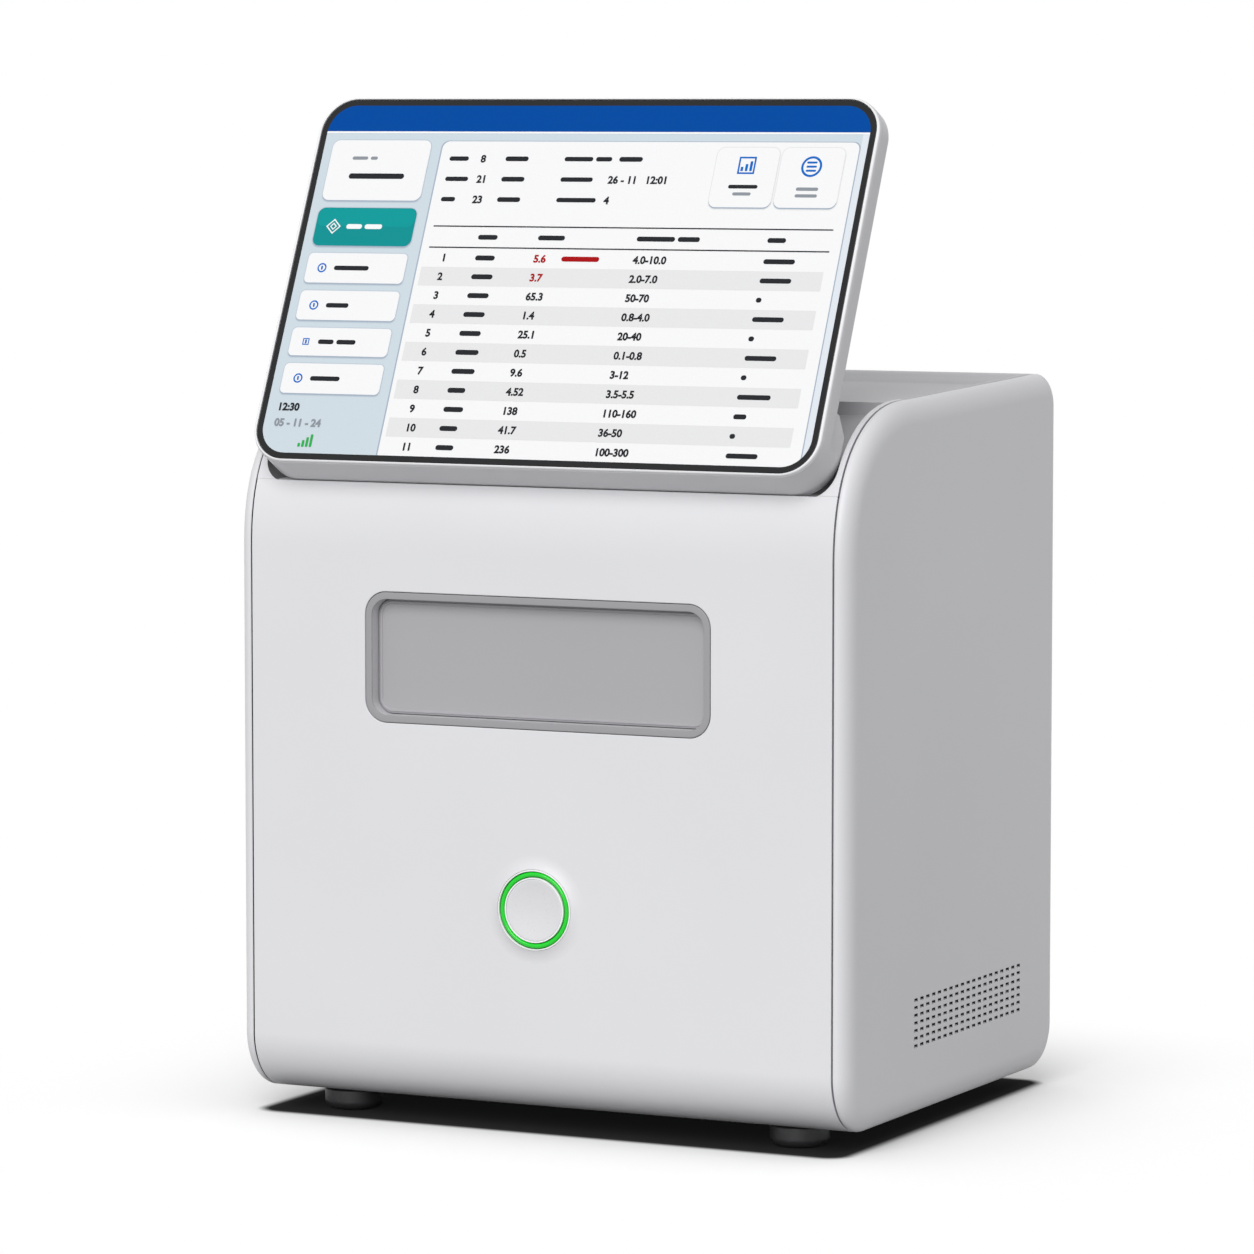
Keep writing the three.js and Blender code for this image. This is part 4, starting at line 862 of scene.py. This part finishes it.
def feet():
    top = body.underside - gap
    profile = [(0, 0)]
    profile += arc((foot.radius - foot.rounding, foot.rounding), foot.rounding, -90, 0, corner_steps)
    rounding = foot.top_rounding
    profile += arc((foot.radius - rounding, top - rounding), rounding, 0, 90, 4)
    profile += [(foot.neck, top), (foot.neck, top + body.wall), (0, top + body.wall)]
    for line, y in (("front", foot.front_y), ("rear", body.depth - foot.rear_inset)):
        for side, word in ((-1, "left"), (1, "right")):
            x = side * (half - foot.side_inset)
            pad = turned(f"foot_{line}_{word}_pad", profile, (x, y, 0), axis="z", sides=64)
            smooth(pad)
            piece(pad, "casing", looks.rubber, [f"foot_{line}_{word}"])


# Window, drawer front and button


def window_frame():
    b = bezel
    bend = b.edge * bend_share
    flange_front = body.wall + gap
    flange_back = flange_front + b.flange_thickness
    levels = [
        (b.ring, flange_front),
        (b.ring, b.edge),
        (b.ring - bend, bend),
        (b.ring - b.edge, 0),
        (b.edge, 0),
        (bend, bend),
        (0, b.edge),
        (0, b.depth),
        (b.ring, b.depth),
        (b.ring, flange_back),
        (b.ring + b.flange, flange_back),
        (b.ring + b.flange, flange_front),
    ]
    widening = b.radius - window.radius
    loops = [around_window(grow, window.radius + grow * widening / b.ring, y) for grow, y in levels]
    ring = loft("window_frame_ring", loops, closed=True)
    smooth(ring)
    piece(ring, "casing", looks.grey_dark, ["window_bezel"])
    reach, rise = window.width / 2 + gap, window.height / 2 + gap
    zs = (window.centre_z - rise, window.centre_z + rise)
    # The inner walls of the opening take the lighter grey: painted light that offsets the shade there.
    recolour(ring, looks.grey_wall, box_test((-reach, reach), (b.edge, b.depth), zs))


def drawer_face():
    """The drawer's front plate with a thin raised lip a little inside its edge."""
    d = drawer
    front, back = d.face_inset, d.face_inset + d.face_thickness
    edge = bezel.edge
    bend, slope = edge * bend_share, edge * d.lip_slope_share
    lip_end = d.lip_inset + d.lip_width
    lip_front = front - d.lip_height
    levels = [
        (0, back),
        (0, front + edge),
        (bend, front + bend),
        (edge, front),
        (d.lip_inset - edge, front),
        (d.lip_inset - slope, lip_front + bend),
        (d.lip_inset, lip_front),
        (lip_end, lip_front),
        (lip_end + slope, lip_front + bend),
        (lip_end + edge, front + slope),
    ]
    loops = []
    for depth, y in levels:
        shrink = d.clearance + depth
        loops.append(around_window(-shrink, window.radius - shrink, y))
    plate = loft("drawer_face_plate", loops)
    smooth(plate)
    piece(plate, "drawer", looks.grey, ["drawer_front"])


def button_rim():
    """The fixed ring round the button, with a groove for its light."""
    b = button
    edge, bend, lip = b.edge, b.edge * bend_share, b.edge * b.lip_share
    profile = [
        (b.bore_radius, b.sleeve_depth),
        (b.bore_radius, bend - b.proud),
        (b.bore_radius + bend, -b.proud),
        (b.ring_inner - bend, edge * b.inner_dip_share - b.proud),
        (b.ring_inner, edge - b.proud),
        (b.ring_inner, -b.ring_floor),
        (b.ring_outer, -b.ring_floor),
        (b.ring_outer, lip - b.proud),
        (b.ring_outer + bend, -b.proud),
        (b.radius - lip, edge * b.outer_dip_share - b.proud),
        (b.radius, edge - b.proud),
        (b.radius, -b.seat_gap),
        (b.sleeve_radius, -b.seat_gap),
        (b.sleeve_radius, b.sleeve_depth),
    ]
    ring = turned("button_rim", profile, (0, 0, b.z))
    smooth(ring, angle=50)
    piece(ring, "casing", looks.white_rim, ["button_bezel"])


def button_light():
    """The light guide with a round top that stands in the groove, and a dark green ring at the groove's
    bottom: painted shade along its edges.
    """
    b = button
    middle = (b.ring_inner + b.ring_outer) / 2
    reach = (b.ring_outer - b.ring_inner) / 2 - b.light_gap
    base = -b.ring_floor - b.seat_gap
    rise = (b.proud - b.ring_floor) * b.crown_share
    crown = arc((middle, 0), 1, 0, 180, 12)
    guide = [(middle + reach * (r - middle), base - rise * h) for r, h in crown]
    light = turned("button_light", guide, (0, 0, b.z))
    smooth(light, angle=60, weighted=False)
    piece(light, "casing", looks.green, ["button_light_ring"])
    # Dark green ring at the bottom of the groove: painted shade along both edges of the guide.
    near, far, deep = b.ring_inner + hair, b.ring_outer - hair, base - b.trench
    trench = [(near, -b.ring_floor), (near, deep), (far, deep), (far, -b.ring_floor)]
    groove_shade = turned("button_light_edge", trench, (0, 0, b.z))
    piece(groove_shade, "casing", looks.green_dark)


def button_cap():
    """The part that is pressed: a dished cap on a stem."""
    b = button
    reach = b.bore_radius - b.seat_gap
    back = b.cap_thickness - b.cap_proud
    dish_edge = reach - 2 * b.edge
    profile = [(0, b.cap_hollow - b.cap_proud)]
    for k in range(1, corner_steps + 1):
        share = k / corner_steps
        profile.append((dish_edge * share, b.cap_hollow * (1 - share**2) - b.cap_proud))
    profile.append((reach - b.edge * bend_share, b.edge * b.inner_dip_share - b.cap_proud))
    profile.append((reach, b.edge * b.cap_dip_share - b.cap_proud))
    profile += [(reach, back), (b.stem_radius, back), (b.stem_radius, b.stem_end), (0, b.stem_end)]
    cap = turned("button_key", profile, (0, 0, b.z))
    smooth(cap, angle=50)
    piece(cap, "button", looks.white, ["button_cap"])


# Screen


def on_screen(x, behind, up):
    """A point from its place across, its depth behind the glass and its height up the glass."""
    back = behind - screen.pivot_behind_glass
    rise = up - screen.pivot_above_edge
    y = screen.pivot_y + back * math.cos(tilt) + rise * math.sin(tilt)
    z = screen.pivot_z - back * math.sin(tilt) + rise * math.cos(tilt)
    return (x, y, z)


def screen_loft(name, levels):
    """A solid through outlines across the screen, each with its depth behind the glass."""
    return loft(name, [[on_screen(x, depth, up) for x, up in points] for points, depth in levels])


def screen_box(name, xs, depths, ups):
    corners = [(xs[0], ups[0]), (xs[1], ups[0]), (xs[1], ups[1]), (xs[0], ups[1])]
    return screen_loft(name, [(corners, depths[0]), (corners, depths[1])])


def glass_outline(grow=0.0):
    s = screen
    centre = (0, s.height / 2)
    size = (2 * (s.half_width + grow), s.height + 2 * grow)
    return rounded_rect(centre, *size, s.corner_radius + grow, 2 * corner_steps)


def rim_outline():
    """The outline of the housing, a little larger than the glass."""
    s = screen
    height = s.height + 2 * s.rim_below
    return rounded_rect(
        (0, s.height / 2), 2 * (s.half_width + s.rim), height, s.corner_radius + s.rim, 2 * corner_steps
    )


def chin_levels():
    """Outlines of the thick foot of the screen: its underside slopes into a round about the hinge."""
    s = screen
    front = (s.seat - s.pivot_behind_glass, -s.pivot_above_edge - s.rim_below)
    rear = s.chin_thickness - s.pivot_behind_glass
    start = math.atan2(front[1], front[0]) + math.acos(s.chin_reach / math.hypot(*front))
    end = -math.acos(rear / s.chin_reach)
    points = [front] + arc((0, 0), s.chin_reach, math.degrees(start), math.degrees(end), 2 * corner_steps)
    levels = []
    for back, low in points:
        past = min(max(back - rear + s.chin_rounding, 0), s.chin_rounding)
        side = s.chin_rounding - math.sqrt(s.chin_rounding**2 - past**2)
        lead = max(1 - (back + s.pivot_behind_glass) / s.front_round, 0)
        side += s.front_edge * (1 - math.sqrt(1 - lead**2))
        below = low + s.pivot_above_edge
        radius = s.corner_radius + s.rim - side
        width = 2 * (s.half_width + s.rim - side)
        points = rounded_rect((0, (s.height + below) / 2), width, s.height - below, radius, 2 * corner_steps)
        levels.append((points, back + s.pivot_behind_glass))
    return levels


def screen_slab():
    """The flat part of the housing, with rounded edges in front and behind."""
    s = screen
    rim = rim_outline()
    levels = []
    for k in range(s.front_steps):
        angle = math.pi / 2 * k / s.front_steps
        side = s.front_edge * (1 - math.sin(angle))
        levels.append((inset(rim, side), s.front_round * (1 - math.cos(angle))))
    for k in range(s.back_steps + 1):
        angle = math.pi / 2 * k / s.back_steps
        depth = s.thickness - s.back_rounding * (1 - math.sin(angle))
        levels.append((inset(rim, s.back_rounding * (1 - math.cos(angle))), depth))
    return screen_loft("screen_shell", levels)


def screen_chin():
    """The thick foot of the housing."""
    s = screen
    low = s.pivot_above_edge - s.chin_reach - overrun
    side = [(s.seat, low), (s.chin_thickness, low), (s.chin_thickness, s.chin_top)]
    side += [(s.thickness, s.shoulder_top), (s.seat, s.shoulder_top)]
    loops = [[on_screen(x, depth, up) for depth, up in side] for x in (-half, half)]
    return common(loft("chin", loops), screen_loft("chin bounds", chin_levels()))


def screen_rooms():
    """The hollows of the housing: the seat of the glass, three rooms and two hinge notches."""
    s, board = screen, screen_board
    across = s.half_width - s.border + gap
    board_depths = (0, s.panel_room + board.depth)
    chin_depths = (0, s.chin_thickness - body.wall)
    reach = hinge.knuckle_width / 2 + hinge.notch_clearance
    notch_depths = (hinge.notch_depth, s.chin_thickness + overrun)
    notch_ups = (body.wall - s.rim_below, s.chin_top + body.wall)
    rooms = (
        ("display room", 0, across, (0, s.panel_room), (s.border - gap, s.height - s.border + gap)),
        ("board room", 0, board.half_width, board_depths, (board.low_edge, board.high_edge)),
        ("chin room", 0, s.chin_cavity_half, chin_depths, (s.border, s.chin_top - body.wall)),
        ("left notch", -hinge.x, reach, notch_depths, notch_ups),
        ("right notch", hinge.x, reach, notch_depths, notch_ups),
    )
    solids = [screen_loft("seat", [(glass_outline(gap), -overrun), (glass_outline(gap), s.seat + gap)])]
    for name, x, half_wide, depths, ups in rooms:
        solids.append(screen_box(name, (x - half_wide, x + half_wide), depths, ups))
    return solids


def screen_shell():
    slab = screen_slab()
    cut(join(slab, screen_chin()), *screen_rooms())
    smooth(slab)
    piece(slab, "screen", looks.shell, ["screen_housing"])
    # The faces along the front edge take the lighter grey: a painted highlight on the rim.
    origin = row(*on_screen(0, 0, 0))
    inwards = (row(*on_screen(0, 1, 0)) - origin).normalized()
    highlight_depth = screen.front_round * screen.rim_share * MM
    recolour(slab, looks.shell_rim, lambda face: (face.center - origin).dot(inwards) < highlight_depth)


# Screen picture: a plain layout of cards, bars and numbers, in thin layers behind the glass plane

ink_share = 0.86


def tint(name, red, green, blue):
    """A colour of the picture, dimmed so that with its own light it shows about as written."""
    return lit(f"screen {name}", scaled(srgb(red, green, blue), ink_share), glow=0.1, shine=0.05)


inks = Sizes(
    black=lit("screen black border", srgb(22, 23, 25), glow=0.0, roughness=0.12, shine=0.3),
    page=tint("page", 209, 221, 229),
    page_pale=tint("pale page", 228, 234, 241),
    header=tint("header", 0, 76, 162),
    line=tint("white line", 250, 251, 252),
    card=tint("card", 248, 248, 249),
    shade=tint("card shade", 168, 182, 198),
    halo=tint("card halo", 194, 206, 217),
    stripe=tint("stripe", 233, 233, 234),
    teal=tint("teal", 21, 147, 149),
    teal_high=tint("teal upper half", 20, 156, 156),
    dark=tint("dark text", 42, 44, 48),
    pale=tint("pale text", 146, 152, 160),
    red=tint("red text", 172, 20, 24),
    blue=tint("blue mark", 20, 108, 200),
    green=tint("green mark", 52, 176, 84),
)
ink_names = list(vars(inks))

picture = Sizes(
    depth=0.45,
    layer=0.05,
    frame=3.2,
    header_bottom=180,
    header_line=1.0,
    side_left=-147,
    side_right=-90,
    card_bottom=141.6,
    card_top=175,
    card_radius=4,
    button_radius=2.6,
    shade_drop=0.7,
    halo=0.5,
    table_left=-79,
    table_right=142.4,
    rule=0.7,
    row_pitch=10.24,
    first_row=110.6,
    number=5.6,
    number_weight_share=0.04,
    number_drop_share=0.35,
    bar=2.1,
    word_gap=1.6,
    size_to_radius=2.05,
    sheet_left=-83.4,
    sheet_right=148,
    sheet_top=174.6,
    shade_left=-84.2,
    shade_right=148.6,
    shade_top=175,
    pane_edge=0.5,
    pane_bend=0.1,
    pane_fall=0.4,
)


class Picture:
    """Flat shapes on the screen, gathered into one mesh."""

    def __init__(self):
        self.bm = bmesh.new()

    def shape(self, points, layer, ink):
        depth = picture.depth - layer * picture.layer
        corners = [self.bm.verts.new(row(*on_screen(x, depth, up))) for x, up in points]
        face = self.bm.faces.new(corners)
        face.material_index = ink_names.index(ink)

    def card(self, xs, ups, radius, layer, ink):
        centre = ((xs[0] + xs[1]) / 2, (ups[0] + ups[1]) / 2)
        size = (xs[1] - xs[0], ups[1] - ups[0])
        radius = min(radius, min(size) / picture.size_to_radius)
        self.shape(rounded_rect(centre, *size, radius, 6), layer, ink)

    def raised(self, xs, ups, radius, ink="card", layer=2, halo="halo"):
        """A card with a soft darker edge, stronger below it."""
        p = picture
        grown = (xs[0] - p.halo, xs[1] + p.halo)
        self.card(grown, (ups[0] - p.shade_drop - p.halo, ups[1] + p.halo), radius + p.halo, layer, halo)
        self.card(xs, (ups[0] - p.shade_drop, ups[1]), radius, layer + 1, "shade")
        self.card(xs, ups, radius, layer + 2, ink)

    def sheet(self, shown, xs, top, layer, ink):
        """A card that runs down to the lower edge of the picture and follows its corners."""
        radius = picture.card_radius
        upper = rounded_rect(((xs[0] + xs[1]) / 2, top / 2), xs[1] - xs[0], top, radius, 6)
        lower = [(min(max(x, xs[0]), xs[1]), up) for x, up in shown[len(shown) // 2 :]]
        self.shape(clean(upper[: len(upper) // 2] + lower), layer, ink)

    def bar(self, x, up, length, ink="dark", height=None, layer=5):
        height = height or picture.bar
        self.card((x, x + length), (up - height / 2, up + height / 2), height, layer, ink)

    def words(self, x, up, lengths, ink="dark", height=None, layer=5):
        """Short bars in a row, where words would stand."""
        for length in lengths:
            self.bar(x, up, length, ink, height, layer)
            x += length + picture.word_gap

    def ring(self, centre, sides, outer, inner, ink, layer=5, turn=0.0):
        """A closed band with straight or round sides."""
        angles = [turn + 2 * math.pi * k / sides for k in range(sides)]
        corner = [(math.cos(a), math.sin(a)) for a in angles]
        for k in range(sides):
            before, here = corner[k - 1], corner[k]
            quad = ((before, inner), (before, outer), (here, outer), (here, inner))
            self.shape([(centre[0] + a * r, centre[1] + b * r) for (a, b), r in quad], layer, ink)

    def numbers(self, text, x, up, size, ink="dark", layer=5):
        font = bpy.data.curves.new("numbers", "FONT")
        font.body = text
        font.size = size
        font.offset = picture.number_weight_share * size
        font.resolution_u = 3
        holder = add_object("numbers", font)
        bpy.context.view_layer.update()
        graph = bpy.context.evaluated_depsgraph_get()
        mesh = bpy.data.meshes.new_from_object(holder.evaluated_get(graph))
        drop = size * picture.number_drop_share
        for polygon in mesh.polygons:
            points = [mesh.vertices[k].co for k in polygon.vertices]
            self.shape([(x + p.x, up + p.y - drop) for p in points], layer, ink)
        bpy.data.objects.remove(holder)
        bpy.data.meshes.remove(mesh)


def picture_side(art):
    """The column of cards on the left of the picture."""
    p = picture
    side = (p.side_left, p.side_right)
    art.raised(side, (p.card_bottom, p.card_top), p.card_radius)
    art.words(-134, 165, [9, 4], "pale", 1.8)
    art.bar(-134, 155, 32, "dark", 3)
    art.raised(side, (116.4, 137.4), p.card_radius, "teal")
    art.card((p.side_left + 0.4, p.side_right - 0.4), (127, 137), p.card_radius, 5, "teal_high")
    for outer, inner in ((4.2, 3.3), (2.0, 1.2)):
        art.ring((-136.5, 127), 4, outer, inner, "line", 6)
    art.words(-129, 127, [9, 10], "line", 2.6, 6)
    marks = ((112.3, 95.9, [20]), (91.6, 75.5, [13]), (71.2, 55.9, [9, 11]), (51.7, 35.4, [17]))
    for top, bottom, words in marks:
        middle = (top + bottom) / 2
        art.raised(side, (bottom, top), p.button_radius)
        art.ring((-138, middle), 4 if len(words) > 1 else 24, 2.6, 1.8, "blue", 5, math.pi / 4)
        art.card((-138.5, -137.5), (middle - 1.1, middle + 1.1), 0.4, 5, "blue")
        art.words(-131, middle, words, "dark", 2.5)
    art.numbers("12:30", -146, 28, p.number)
    art.numbers("05 - 11 - 24", -146, 19.5, p.number, "pale")
    for k in range(4):
        art.card((-130 + 2.2 * k, -128.6 + 2.2 * k), (6.5, 8.5 + 1.6 * k), 0.4, 5, "green")


def picture_table(art):
    """Rows of numbers between rules, every second row on a pale stripe."""
    p = picture
    left, right = p.table_left, p.table_right
    for up in (127.8, 116.2):
        art.card((left, right), (up - p.rule / 2, up + p.rule / 2), p.rule, 5, "dark")
    for x, lengths in ((-52.3, [11]), (-18.4, [15]), (36.6, [21, 12]), (108, [10])):
        art.words(x, 121.9, lengths, "dark", 2.6)
    rows = (
        ("5.6", "4.0-10.0", 11, 17),
        ("3.7", "2.0-7.0", 12, 17),
        ("65.3", "50-70", 12, 3),
        ("1.4", "0.8-4.0", 12, 17),
        ("25.1", "20-40", 12, 3),
        ("0.5", "0.1-0.8", 13, 17),
        ("9.6", "3-12", 13, 3),
        ("4.52", "3.5-5.5", 10, 18),
        ("138", "110-160", 11, 7),
        ("41.7", "36-50", 10, 3),
        ("236", "100-300", 10, 17),
    )
    for k, (result, reference, name, unit) in enumerate(rows):
        up = p.first_row - k * p.row_pitch
        ink = "red" if k < 2 else "dark"
        if k % 2:
            art.card((left - 2, right - 1), (up - p.row_pitch / 2, up + p.row_pitch / 2), 0.3, 4, "stripe")
        art.numbers(str(k + 1), -70.6, up, p.number)
        art.bar(-51.5, up, name, "dark", 2.7)
        art.numbers(result, -18.5, up, p.number, ink)
        if k == 0:
            art.bar(-3, up, 21, "red", 2.7)
        art.numbers(reference, 36.8, up, p.number)
        art.bar(108, up, unit, "dark", 2.6)


def picture_top(art):
    """Short lines of facts and two cards with marks, above the table."""
    facts = ((165, [11], "8"), (153.8, [13], "21"), (142.6, [8], "23"))
    for up, lengths, number in facts:
        art.words(-78, up, lengths, "dark", 2.4)
        art.numbers(number, -60, up, picture.number)
        art.bar(-46, up, 13, "dark", 2.6)
    for up, lengths, number in ((165, [16, 9], ""), (153.8, [18], "26 - 11   12:01"), (142.6, [22], "4")):
        art.words(-12.6, up, lengths, "dark", 2.4)
        if number:
            art.numbers(number, 14, up, picture.number)
        else:
            art.bar(18, up, 13, "dark", 2.6)
    for x in (71.8, 107.2):
        art.raised((x, x + 34), (139.4, 171.6), picture.card_radius, layer=4, halo="stripe")
    mark = 7
    art.ring((89, 162), 4, 6.6, 5.3, "blue", mark, math.pi / 4)
    for k in range(3):
        art.card((85.9 + 2.4 * k, 87.3 + 2.4 * k), (158.9, 161.2 + 1.5 * k), 0.3, mark, "blue")
    art.ring((124.2, 161.5), 28, 5.6, 4.4, "blue", mark)
    for k in range(3):
        art.bar(121.4, 163.7 - 2.2 * k, 5.6, "blue", 1.1, mark)
    art.words(81, 150.5, [16], "dark", 2, mark)
    art.words(84, 146.6, [10], "pale", 1.7, mark)
    art.words(118, 149.4, [12], "pale", 1.8, mark)
    art.words(118, 145.8, [12], "pale", 1.7, mark)


def screen_picture():
    s, p = screen, picture
    pane = screen_loft(
        "screen_pane",
        [
            (glass_outline(-p.pane_edge), p.depth),
            (glass_outline(-p.pane_bend), p.depth + p.pane_bend),
            (glass_outline(), p.depth + p.pane_fall),
            (glass_outline(), s.seat),
        ],
    )
    smooth(pane)
    piece(pane, "screen", inks.black, ["screen_glass"])

    art = Picture()
    width = 2 * (s.half_width - p.frame)
    height = s.height - 2 * p.frame
    shown = rounded_rect((0, s.height / 2), width, height, s.corner_radius - p.frame, 2 * corner_steps)
    split = p.header_bottom
    upper = [(x, max(up, split)) for x, up in shown]
    art.shape(clean(upper), 1, "header")
    lower = [(x, min(up, split)) for x, up in shown]
    art.shape(clean(lower), 1, "page")
    edge = s.half_width - p.frame
    art.card((-edge, edge), (split - p.header_line, split), 0, 3, "line")
    art.shape(clean([(max(x, p.shade_right), up) for x, up in lower]), 2, "page_pale")
    art.sheet(shown, (p.shade_left, p.shade_right), p.shade_top, 2, "shade")
    art.sheet(shown, (p.sheet_left, p.sheet_right), p.sheet_top, 3, "card")
    picture_side(art)
    picture_top(art)
    picture_table(art)
    image = new_object("screen_picture_layers", art.bm)
    for name in ink_names:
        image.data.materials.append(getattr(inks, name))
    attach(image, "screen")
    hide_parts("display_panel")


def clean(points):
    """An outline without points that repeat the one before."""
    return [p for k, p in enumerate(points) if math.dist(p, points[k - 1]) > gap / 100]


side_panels()
front_cover()
top_cover()
rear_cover()
feet()
window_frame()
drawer_face()
button_rim()
button_light()
button_cap()
screen_shell()
screen_picture()

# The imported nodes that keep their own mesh

kept = {
    "steel": (
        "base_plate chassis_left chassis_right drawer_deck hinge_beam hinge_bracket_left "
        "hinge_bracket_right power_supply lift_motor idler_bracket optics_bridge io_block"
    ),
    "bright": (
        "drawer_rail_left drawer_rail_right drawer_runner_left drawer_runner_right gantry_rod_upper "
        "gantry_rod_lower pipette_needle screen_hinge_pin_left screen_hinge_pin_right "
        "belt_drive_pulley belt_idler_pulley"
    ),
    "black": (
        "button_switch drawer_motor pipette_carriage belt_motor optics_objective optics_camera "
        "fan_frame fan_rotor power_inlet power_rocker"
    ),
    "belt": "carriage_belt",
    "brass": "drawer_pinion drawer_rack",
    "board": "main_board screen_board",
    "reagent": "reagent_bottle reagent_cartridge_left reagent_cartridge_right pipette_head",
    "tray": "drawer_tray",
}
for look, names in kept.items():
    for name in names.split():
        give(frame["nodes"][name], getattr(looks, look))

# Floor, light and camera


# Where the painted contact shadow lies on the floor, in millimetres of the part's frame.
painted_shadow = Sizes(
    left=-168,
    right=163.5,
    front=9,
    back=273,
    corner=13,
    blur_in=4.5,
    blur_out=3.5,
    darkest_share=0.03,
)
paper = Sizes(
    reach_m=6,
    shade_reach_m=0.2,
    fade_reach_m=0.22,
    closed_share=0.4,
    open_share=0.95,
    shaded_share=0.8,
    bounce_share=0.45,
)


def floor(light):
    """White paper: light is how bright the lamps make it, its own glow adds the rest, and a painted shadow
    darkens it under and near the body.
    """
    c, p = painted_shadow, paper
    plane = bpy.data.meshes.new("floor")
    corners = [(x * p.reach_m, y * p.reach_m, 0) for x, y in ((-1, -1), (1, -1), (1, 1), (-1, 1))]
    plane.from_pydata(corners, [], [(0, 1, 2, 3)])
    ground = add_object("floor", plane)

    n = material("floor paper")
    n.values(Roughness=0.9, Specular_IOR_Level=0.0, Emission_Color=(1, 1, 1, 1))
    seen = n.seen()

    # Painted contact shadow: the paper goes dark over a rounded rectangle under the body.
    middle = row((c.left + c.right) / 2, (c.front + c.back) / 2, 0)
    half_width, half_depth = (c.right - c.left) / 2, (c.back - c.front) / 2
    straight = Vector((half_width - c.corner, half_depth - c.corner, 0)) * MM
    place = n.add("ShaderNodeNewGeometry").outputs["Position"]
    aside = n.vector("ABSOLUTE", n.vector("SUBTRACT", place, middle))
    beside = n.vector("MAXIMUM", n.vector("SUBTRACT", aside, straight), (0, 0, 0))
    away = n.add("ShaderNodeVectorMath", {"Vector": beside}, operation="LENGTH").outputs["Value"]
    painted_footprint_shadow = n.fade(away, (c.corner - c.blur_in) * MM, (c.corner + c.blur_out) * MM, c.darkest_share)
    # Painted shade: the paper is darker where the occlusion node finds the body close by.
    closed = n.add("ShaderNodeAmbientOcclusion", samples=16, Distance=p.shade_reach_m).outputs["AO"]
    shade = n.calc("MULTIPLY", painted_footprint_shadow, n.fade(closed, p.closed_share, p.open_share, p.shaded_share))
    n.feed(
        Base_Color=n.calc("MULTIPLY", shade, n.fade(seen, 0, 1, p.bounce_share)),
        Emission_Strength=n.calc("MULTIPLY", n.calc("MULTIPLY", seen, shade), 1 - light),
    )

    white = n.add("ShaderNodeEmission", Strength=1.0)
    far = n.calc("MULTIPLY", seen, n.fade(away, 0.0, p.fade_reach_m))
    n.show(far, n.shader.outputs[0], white.outputs[0])
    give(ground, n.owner)


def world(level):
    """Even light from all sides; camera, glossy and transmission rays see plain white."""
    n = Nodes(bpy.data.worlds.new("studio"))
    bpy.context.scene.world = n.owner
    soft = n.tree.nodes["Background"]
    soft.inputs["Color"].default_value = (1, 1, 1, 1)
    soft.inputs["Strength"].default_value = level
    white = n.add("ShaderNodeBackground", Color=(1, 1, 1, 1), Strength=1.0)
    n.show(n.seen(), soft.outputs[0], white.outputs[0])


def sun(name, towards, share, spread):
    """A lamp in the direction towards it; share is how bright a white face turned to it gets."""
    lamp = bpy.data.lights.new(name, "SUN")
    lamp.energy = share * math.pi
    lamp.angle = math.radians(spread)
    holder = add_object(name, lamp)
    holder.rotation_mode = "QUATERNION"
    holder.rotation_quaternion = Vector(towards).to_track_quat("Z", "Y")


def camera():
    lens = bpy.data.cameras.new("camera")
    lens.lens = 170.28
    lens.sensor_width = 36
    lens.clip_start = 0.1
    lens.clip_end = 100
    holder = add_object("camera", lens)
    holder.location = (1.3377, -2.7335, 0.5146)
    holder.rotation_euler = (math.radians(84.95), 0, math.radians(26.3))
    bpy.context.scene.camera = holder


sky_level = 0.45
key_level = 0.67
key_direction = (0.115, -0.835, 0.538)
floor(sky_level + key_level * key_direction[2])
world(sky_level)
sun("key", key_direction, key_level, 45)
camera()
bpy.context.scene.view_settings.view_transform = "Standard"
